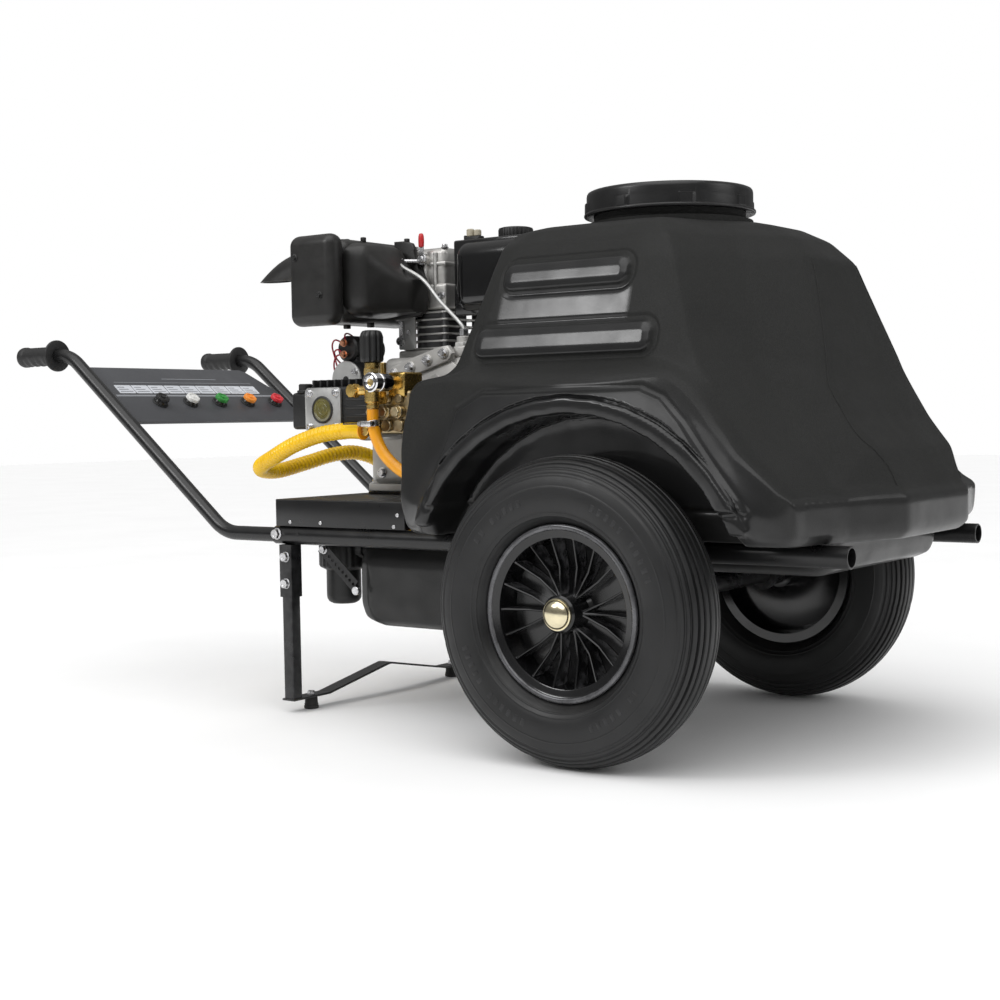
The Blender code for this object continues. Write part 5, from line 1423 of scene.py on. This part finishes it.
def make_strap():
    """A perforated steel strap that steadies the filter from the chassis."""
    start, end = Vector((-0.1, -0.1985, 0.256)), Vector((-0.03, -0.1985, 0.1965))
    along = (end - start).normalized()
    across = along.cross(Vector((0, 1, 0)))
    out = Vector((0, -1, 0))
    pitch, half, hole = 0.0088, 0.0095, 0.0026
    cells = int((end - start).length / pitch)
    part = bmesh.new()
    corners = 16
    for i in range(cells):
        centre = start + along * (pitch * (i + 0.5))
        rims, edges = [], []
        for layer in (0.0, 0.0014):
            rim, edge = [], []
            for k in range(corners):
                c, s = cos(2 * pi * k / corners), sin(2 * pi * k / corners)
                m = max(abs(c), abs(s))
                at = centre + out * layer
                rim.append(part.verts.new(at + hole * (c * along + s * across)))
                edge.append(part.verts.new(at + c / m * pitch / 2 * along + s / m * half * across))
            rims.append(rim)
            edges.append(edge)
        for k in range(corners):
            j = (k + 1) % corners
            for rim, edge in zip(rims, edges):
                part.faces.new((rim[k], rim[j], edge[j], edge[k]))
            part.faces.new((rims[0][k], rims[0][j], rims[1][j], rims[1][k]))
            middle = 2 * pi * (k + 0.5) / corners
            long_side = abs(sin(middle)) > abs(cos(middle))
            first = i == 0 and not long_side and cos(middle) < 0
            last = i == cells - 1 and not long_side and cos(middle) > 0
            if long_side or first or last:
                part.faces.new((edges[0][k], edges[0][j], edges[1][j], edges[1][k]))
    bmesh.ops.remove_doubles(part, verts=part.verts, dist=1e-5)
    bmesh.ops.recalc_face_normals(part, faces=part.faces)
    mesh = bpy.data.meshes.new("strap")
    part.to_mesh(mesh)
    part.free()
    show("filter_strap", mesh, "paint")
    build("strap_bolts", "zinc",
          (bolt, (start.x + 0.006, -0.2, start.z - 0.004), (0, -1, 0), 0.01, 0.0045, 0.007),
          (rod, (end.x + 0.002, -0.1985, end.z - 0.004), (end.x + 0.002, -0.206, end.z - 0.004),
           0.0065, 28, 0.0008))


# ---------------------------------------------------------------- tank and lid

TRAPEZOID = ((0.21, 0.331), (0.225, 0.365), (0.249, 0.458), (0.2925, 0.479), (0.537, 0.48), (0.566, 0.468),
             (0.597, 0.4375), (0.672, 0.344), (0.68, 0.331))
FINE_VOXEL = 0.0034
PAD_CORNER = 0.0165
PADS = (((0.29, 0.615), (0.4875, 0.654)), ((0.258, 0.526), (0.534, 0.568)))
PARTING = ((0.65, 0.07, 0.221), (0.62, 0.078, 0.23), (0.57, 0.097, 0.245), (0.51, 0.122, 0.263),
           (0.48, 0.136, 0.273), (0.45, 0.137, 0.29), (0.42, 0.138, 0.311), (0.4, 0.128, 0.331),
           (0.38, 0.115, 0.347), (0.36, 0.113, 0.357))


def arrays(mesh):
    count = len(mesh.vertices)
    at = np.empty(count * 3)
    mesh.vertices.foreach_get("co", at)
    ends = np.empty(len(mesh.edges) * 2, dtype=np.int64)
    mesh.edges.foreach_get("vertices", ends)
    return at.reshape(count, 3), ends.reshape(-1, 2)


def step_between(low, high, value):
    t = np.clip((value - low) / (high - low), 0.0, 1.0)
    return t * t * (3 - 2 * t)


def relax(at, ends, weight, rounds):
    """Laplacian smoothing, as strong at each point as its weight, with a pass back that keeps the volume."""
    count = len(at)
    near = np.bincount(ends.ravel(), minlength=count).clip(1)
    for turn in range(rounds):
        for share in (0.55, -0.56) if turn % 2 else (0.5,):
            total = np.stack([np.bincount(ends[:, 0], at[ends[:, 1], k], count)
                              + np.bincount(ends[:, 1], at[ends[:, 0], k], count)
                              for k in range(3)], axis=1)
            at = at + (total / near[:, None] - at) * weight[:, None] * share
    return at


def inside(outline, x, z):
    """Signed distance to a plane outline, positive inside."""
    points = np.array(outline)
    best = np.full(x.shape, 1e9)
    odd = np.zeros(x.shape, dtype=bool)
    for (ax, az), (bx, bz) in zip(points, np.roll(points, -1, axis=0)):
        dx, dz = bx - ax, bz - az
        t = np.clip(((x - ax) * dx + (z - az) * dz) / (dx * dx + dz * dz), 0, 1)
        best = np.minimum(best, np.hypot(x - ax - t * dx, z - az - t * dz))
        crosses = (az > z) != (bz > z)
        slope = np.where(bz == az, 1e-12, bz - az)
        odd ^= crosses & (x < ax + (z - az) * dx / slope)
    return np.where(odd, best, -best)


def rounded_box(x, z, low, high, radius):
    """Signed distance to a round-cornered rectangle in the x-z plane, positive inside."""
    cx, cz = (low[0] + high[0]) / 2, (low[1] + high[1]) / 2
    qx = np.abs(x - cx) - (high[0] - low[0]) / 2 + radius
    qz = np.abs(z - cz) - (high[1] - low[1]) / 2 + radius
    return radius - np.hypot(np.maximum(qx, 0), np.maximum(qz, 0)) - np.minimum(np.maximum(qx, qz), 0)


def tank_voxel():
    return FINE_VOXEL


def tank_skin():
    """The outer skin of the CAD tank, closed over the neck, as a fine even mesh."""
    bm = bmesh.new()
    bm.from_mesh(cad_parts["water_tank"].data)
    bmesh.ops.remove_doubles(bm, verts=bm.verts, dist=1e-5)
    rim = [f for f in bm.faces if min(v.co.z for v in f.verts) > 0.7475 and abs(f.normal.z) > 0.9]
    bmesh.ops.delete(bm, geom=rim, context="FACES_ONLY")
    first = min(bm.faces, key=lambda f: f.calc_center_median().z)
    seen = {first}
    queue = [first]
    while queue:
        for edge in queue.pop().edges:
            if len(edge.link_faces) != 2:
                continue
            for other in edge.link_faces:
                if other not in seen:
                    seen.add(other)
                    queue.append(other)
    bmesh.ops.delete(bm, geom=[f for f in bm.faces if f not in seen], context="FACES")
    loose = [e for e in bm.edges if e.is_boundary]
    bmesh.ops.holes_fill(bm, edges=loose, sides=0)
    bmesh.ops.recalc_face_normals(bm, faces=bm.faces)
    mesh = bpy.data.meshes.new("tank_skin")
    bm.to_mesh(mesh)
    bm.free()
    made = bpy.data.objects.new("tank_skin", mesh)
    bpy.context.scene.collection.objects.link(made)
    change = made.modifiers.new("even", "REMESH")
    change.mode = "VOXEL"
    change.voxel_size = tank_voxel()
    change.adaptivity = 0.0
    graph = bpy.context.evaluated_depsgraph_get()
    even = bpy.data.meshes.new_from_object(made.evaluated_get(graph))
    bpy.data.objects.remove(made)
    return even


def split_near(mesh, test):
    """Subdivides the faces whose middles pass the test."""
    bm = bmesh.new()
    bm.from_mesh(mesh)
    chosen = test(np.array([f.calc_center_median() for f in bm.faces]))
    edges = {e for f, yes in zip(bm.faces, chosen) if yes for e in f.edges}
    bmesh.ops.subdivide_edges(bm, edges=list(edges), cuts=1, use_grid_fill=True)
    bmesh.ops.triangulate(bm, faces=[f for f in bm.faces if len(f.verts) > 4])
    bm.to_mesh(mesh)
    bm.free()


def raise_panels(at):
    """Outward moves for the side panels and pads, and how polished each point is."""
    x, y, z = at[:, 0], np.abs(at[:, 1]), at[:, 2]
    push = np.zeros(len(at))
    polish = np.zeros(len(at))
    wall = step_between(0.215, 0.25, y)
    trapezoid = inside(TRAPEZOID, x, z)
    edge = step_between(-0.0012, 0.003, trapezoid)
    push += 0.006 * edge * wall
    push -= 0.0016 * np.exp(-((trapezoid + 0.004) / 0.0035) ** 2) * wall
    polish = np.maximum(polish, step_between(0.001, 0.006, trapezoid) * wall)
    upper = step_between(0.165, 0.195, y)
    for low, high in PADS:
        pad = rounded_box(x, z, low, high, PAD_CORNER)
        push += (0.0052 * step_between(-0.0012, 0.0046, pad)
                 + 0.0022 * step_between(0.002, 0.014, pad)) * upper
        push -= 0.0022 * np.exp(-((pad + 0.0045) / 0.0032) ** 2) * upper
        polish = np.maximum(polish, 0.85 * step_between(-0.001, 0.005, pad) * upper)
    band = rounded_box(x, z, (0.29, 0.568), (0.49, 0.615), 0.006)
    polish = np.maximum(polish, step_between(-0.004, 0.004, band) * upper)
    polish = np.maximum(polish, 0.55 * step_between(0.355, 0.335, z))
    return push, polish


def flare_fenders(at):
    """Distances that carry the side wall out to the bead round each wheel arch, and where the flare is."""
    x, y, z = at[:, 0], np.abs(at[:, 1]), at[:, 2]
    r = np.hypot(x - AXLE_X, z - AXLE_Z)
    rise = np.maximum(r - 0.267, 0.0) / 0.031
    target = 0.301 + 0.0272 * np.exp(-rise ** 1.3)
    zone = step_between(0.258, 0.264, r) * step_between(0.281, 0.288, y) * step_between(0.285, 0.35, z)
    gloss = (step_between(0.245, 0.252, r) * (1 - step_between(0.29, 0.345, r))
             * step_between(0.285, 0.295, y))
    return np.maximum(0.0, target - y) * zone, gloss


def near_relief(at):
    """True where the side panels' and pads' edges need a finer mesh."""
    x, y, z = at[:, 0], np.abs(at[:, 1]), at[:, 2]
    near = (np.abs(inside(TRAPEZOID, x, z)) < 0.008) & (y > 0.24)
    for low, high in PADS:
        near |= (rounded_box(x, z, low, high, PAD_CORNER) > -0.012) & (y > 0.17)
    return near


def smooth_skin(mesh):
    """Rounds off the voxels and the CAD's flats, less at the neck's ring and above it."""
    at, ends = arrays(mesh)
    z = at[:, 2]
    r = np.hypot(at[:, 0] - AXLE_X, z - AXLE_Z)
    body = step_between(0.335, 0.37, z) * (1 - step_between(0.682, 0.694, z))
    weight = 0.72 + 0.28 * body * step_between(0.262, 0.285, r)
    weight *= 1 - 0.45 * step_between(0.692, 0.7, z)
    weight *= 1 - 0.85 * step_between(0.716, 0.722, z)
    at = relax(at, ends, weight, int(20 * (FINE_VOXEL / tank_voxel()) ** 2) + 3)
    mesh.vertices.foreach_set("co", at.ravel())
    mesh.update()


def make_tank():
    mesh = tank_skin()
    smooth_skin(mesh)
    split_near(mesh, near_relief)
    at, ends = arrays(mesh)
    normals = np.empty(len(at) * 3)
    mesh.vertices.foreach_get("normal", normals)
    normals = normals.reshape(-1, 3)
    sideways = np.sign(at[:, 1])[:, None] * np.array([0.0, 1.0, 0.0])
    facing = np.clip(normals[:, 1] * np.sign(at[:, 1]), 0, 1)
    spread, gloss = flare_fenders(at)
    at = at + sideways * spread[:, None]
    r = np.hypot(at[:, 0] - AXLE_X, at[:, 2] - AXLE_Z)
    soft = step_between(0.252, 0.262, r) * (1 - step_between(0.33, 0.36, r))
    soft *= step_between(0.27, 0.29, np.abs(at[:, 1]))
    at = relax(at, ends, 0.95 * soft, 24)
    push, polish = raise_panels(at)
    at = at + sideways * (push * step_between(0.35, 0.7, facing))[:, None]
    polish = np.maximum(polish, gloss * 0.9)
    low, high = (np.array(corner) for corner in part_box("water_tank"))
    at = np.clip(at, low - (0, 0.0055, 0), high + (0, 0.0055, 0))
    mesh.vertices.foreach_set("co", at.ravel())
    mesh.update()
    attribute = mesh.attributes.new("polish", "FLOAT", "POINT")
    attribute.data.foreach_set("value", polish)
    bm = bmesh.new()
    bm.from_mesh(mesh)
    top = [f for f in bm.faces if f.calc_center_median().z > 0.7462
           and hypot(f.calc_center_median().x - NECK_X, f.calc_center_median().y) < 0.1005]
    bmesh.ops.delete(bm, geom=top, context="FACES")
    bm.to_mesh(mesh)
    bm.free()
    show("water_tank_fine", mesh, "tank", smooth=0)
    make_neck()
    make_parting(mesh)
    make_tank_trim()


def make_neck():
    """The threaded neck, open down into the tank."""
    profile = ((0.1, 0.7), (0.1, 0.7468), (0.1012, 0.748), (0.1066, 0.748), (0.1078, 0.7468),
               (0.1078, 0.744), (0.1098, 0.7425), (0.1098, 0.7405), (0.1078, 0.739), (0.1078, 0.72),
               (0.118, 0.7195), (0.118, 0.7), (0.145, 0.69), (0.145, 0.31), (0.14, 0.31), (0.14, 0.686),
               (0.106, 0.69))
    bottom = ((0, 0.31), (0.14, 0.31), (0.14, 0.313), (0, 0.313))
    build("tank_neck", "tank",
          (turned, profile, (NECK_X, 0, 0), dict(steps=96, ring=True)),
          (turned, bottom, (NECK_X, 0, 0), dict(steps=64)), smooth=35)


def make_parting(mesh):
    """A thin moulding line down the tank's rear corners, laid on its surface."""
    tree = BVHTree.FromPolygons([v.co for v in mesh.vertices], [p.vertices for p in mesh.polygons])
    for word, side in SIDES.items():
        route = [tree.find_nearest(Vector((AXLE_X + x, side * w, z)))[0] for z, w, x in PARTING]
        laid = [tree.find_nearest(p)[0] for p in smooth_route(route, 0.004)]
        build(f"tank_parting_{word}", "tank", (tube, laid, 0.0009, 8), smooth=60)


def make_tank_trim():
    """A drain plug in the sump."""
    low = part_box("water_tank")[0].z
    build("tank_drain_plug", "black",
          (rod, (0.18, 0, low + 0.004), (0.18, 0, low - 0.006), 0.016, 40, 0.002),
          (rod, (0.18, 0, low - 0.006), (0.18, 0, low - 0.011), 0.01, 6, 0.001), slot="tank_plastic")


def make_lid():
    low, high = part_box("tank_lid")
    middle = (low + high) / 2
    base, top = low.z, high.z
    lug_start = -48.6

    def lugs(angle, radius, height):
        if radius < 0.1175 or not base + 0.0052 < height < base + 0.019:
            return radius
        turn = (np.degrees(angle) - lug_start + 22.5) % 45 - 22.5
        return radius + 0.003 * float(np.clip((5.4 - abs(turn)) / 1.2, 0, 1))

    profile = [(0.101, base + 0.002), (0.119, base), (0.121, base + 0.0004), (0.1218, base + 0.0016),
               (0.1218, base + 0.0036), (0.121, base + 0.0048), (0.1184, base + 0.0054)]
    profile += [(0.1184, base + 0.006), (0.1182, base + 0.015), (0.118, base + 0.0184),
                (0.118, base + 0.0196), (0.118, top - 0.0064), (0.1174, top - 0.003),
                (0.116, top - 0.0009), (0.114, top),
                (0.1075, top), (0.1056, top - 0.0009), (0.1042, top - 0.004), (0.103, top - 0.0082),
                (0.1012, top - 0.009), (0.076, top - 0.009), (0.0752, top - 0.0078), (0.0728, top - 0.0078),
                (0.072, top - 0.009), (0.042, top - 0.009), (0.0412, top - 0.008), (0.039, top - 0.008),
                (0.0382, top - 0.009), (0, top - 0.009)]
    profile += [(0, top - 0.0118), (0.101, top - 0.0118)]
    bm = turned(bmesh.new(), profile, (middle.x, middle.y, 0), steps=320, shape=lugs)
    place = Matrix.Translation((middle.x, middle.y, 0))
    for k in range(4):
        turn = place @ Matrix.Rotation(radians(45 * k + 20), 4, "Z")
        box(bm, (-0.099, -0.0022, top - 0.0094), (0.099, 0.0022, top - 0.0066), 0.001, 2, turn)
    piece("tank_lid_fine", bm, "lid", body="lid", smooth=38)
    repaint("seal", "lid_seal")


# ---------------------------------------------------------------- all of it

FINISH = make_finishes()
add_camera()
make_hoses()
add_studio()
make_chassis()
make_stand()
make_handles()
make_panel()
make_tray()
make_muffler()
make_fuel_tank()
make_cylinder()
make_crankcase()
make_fan_housing()
make_engine_extras()
make_pump()
make_pump_head()
make_unloader()
make_filter()
make_strap()
make_wheels()
make_tank()
make_lid()
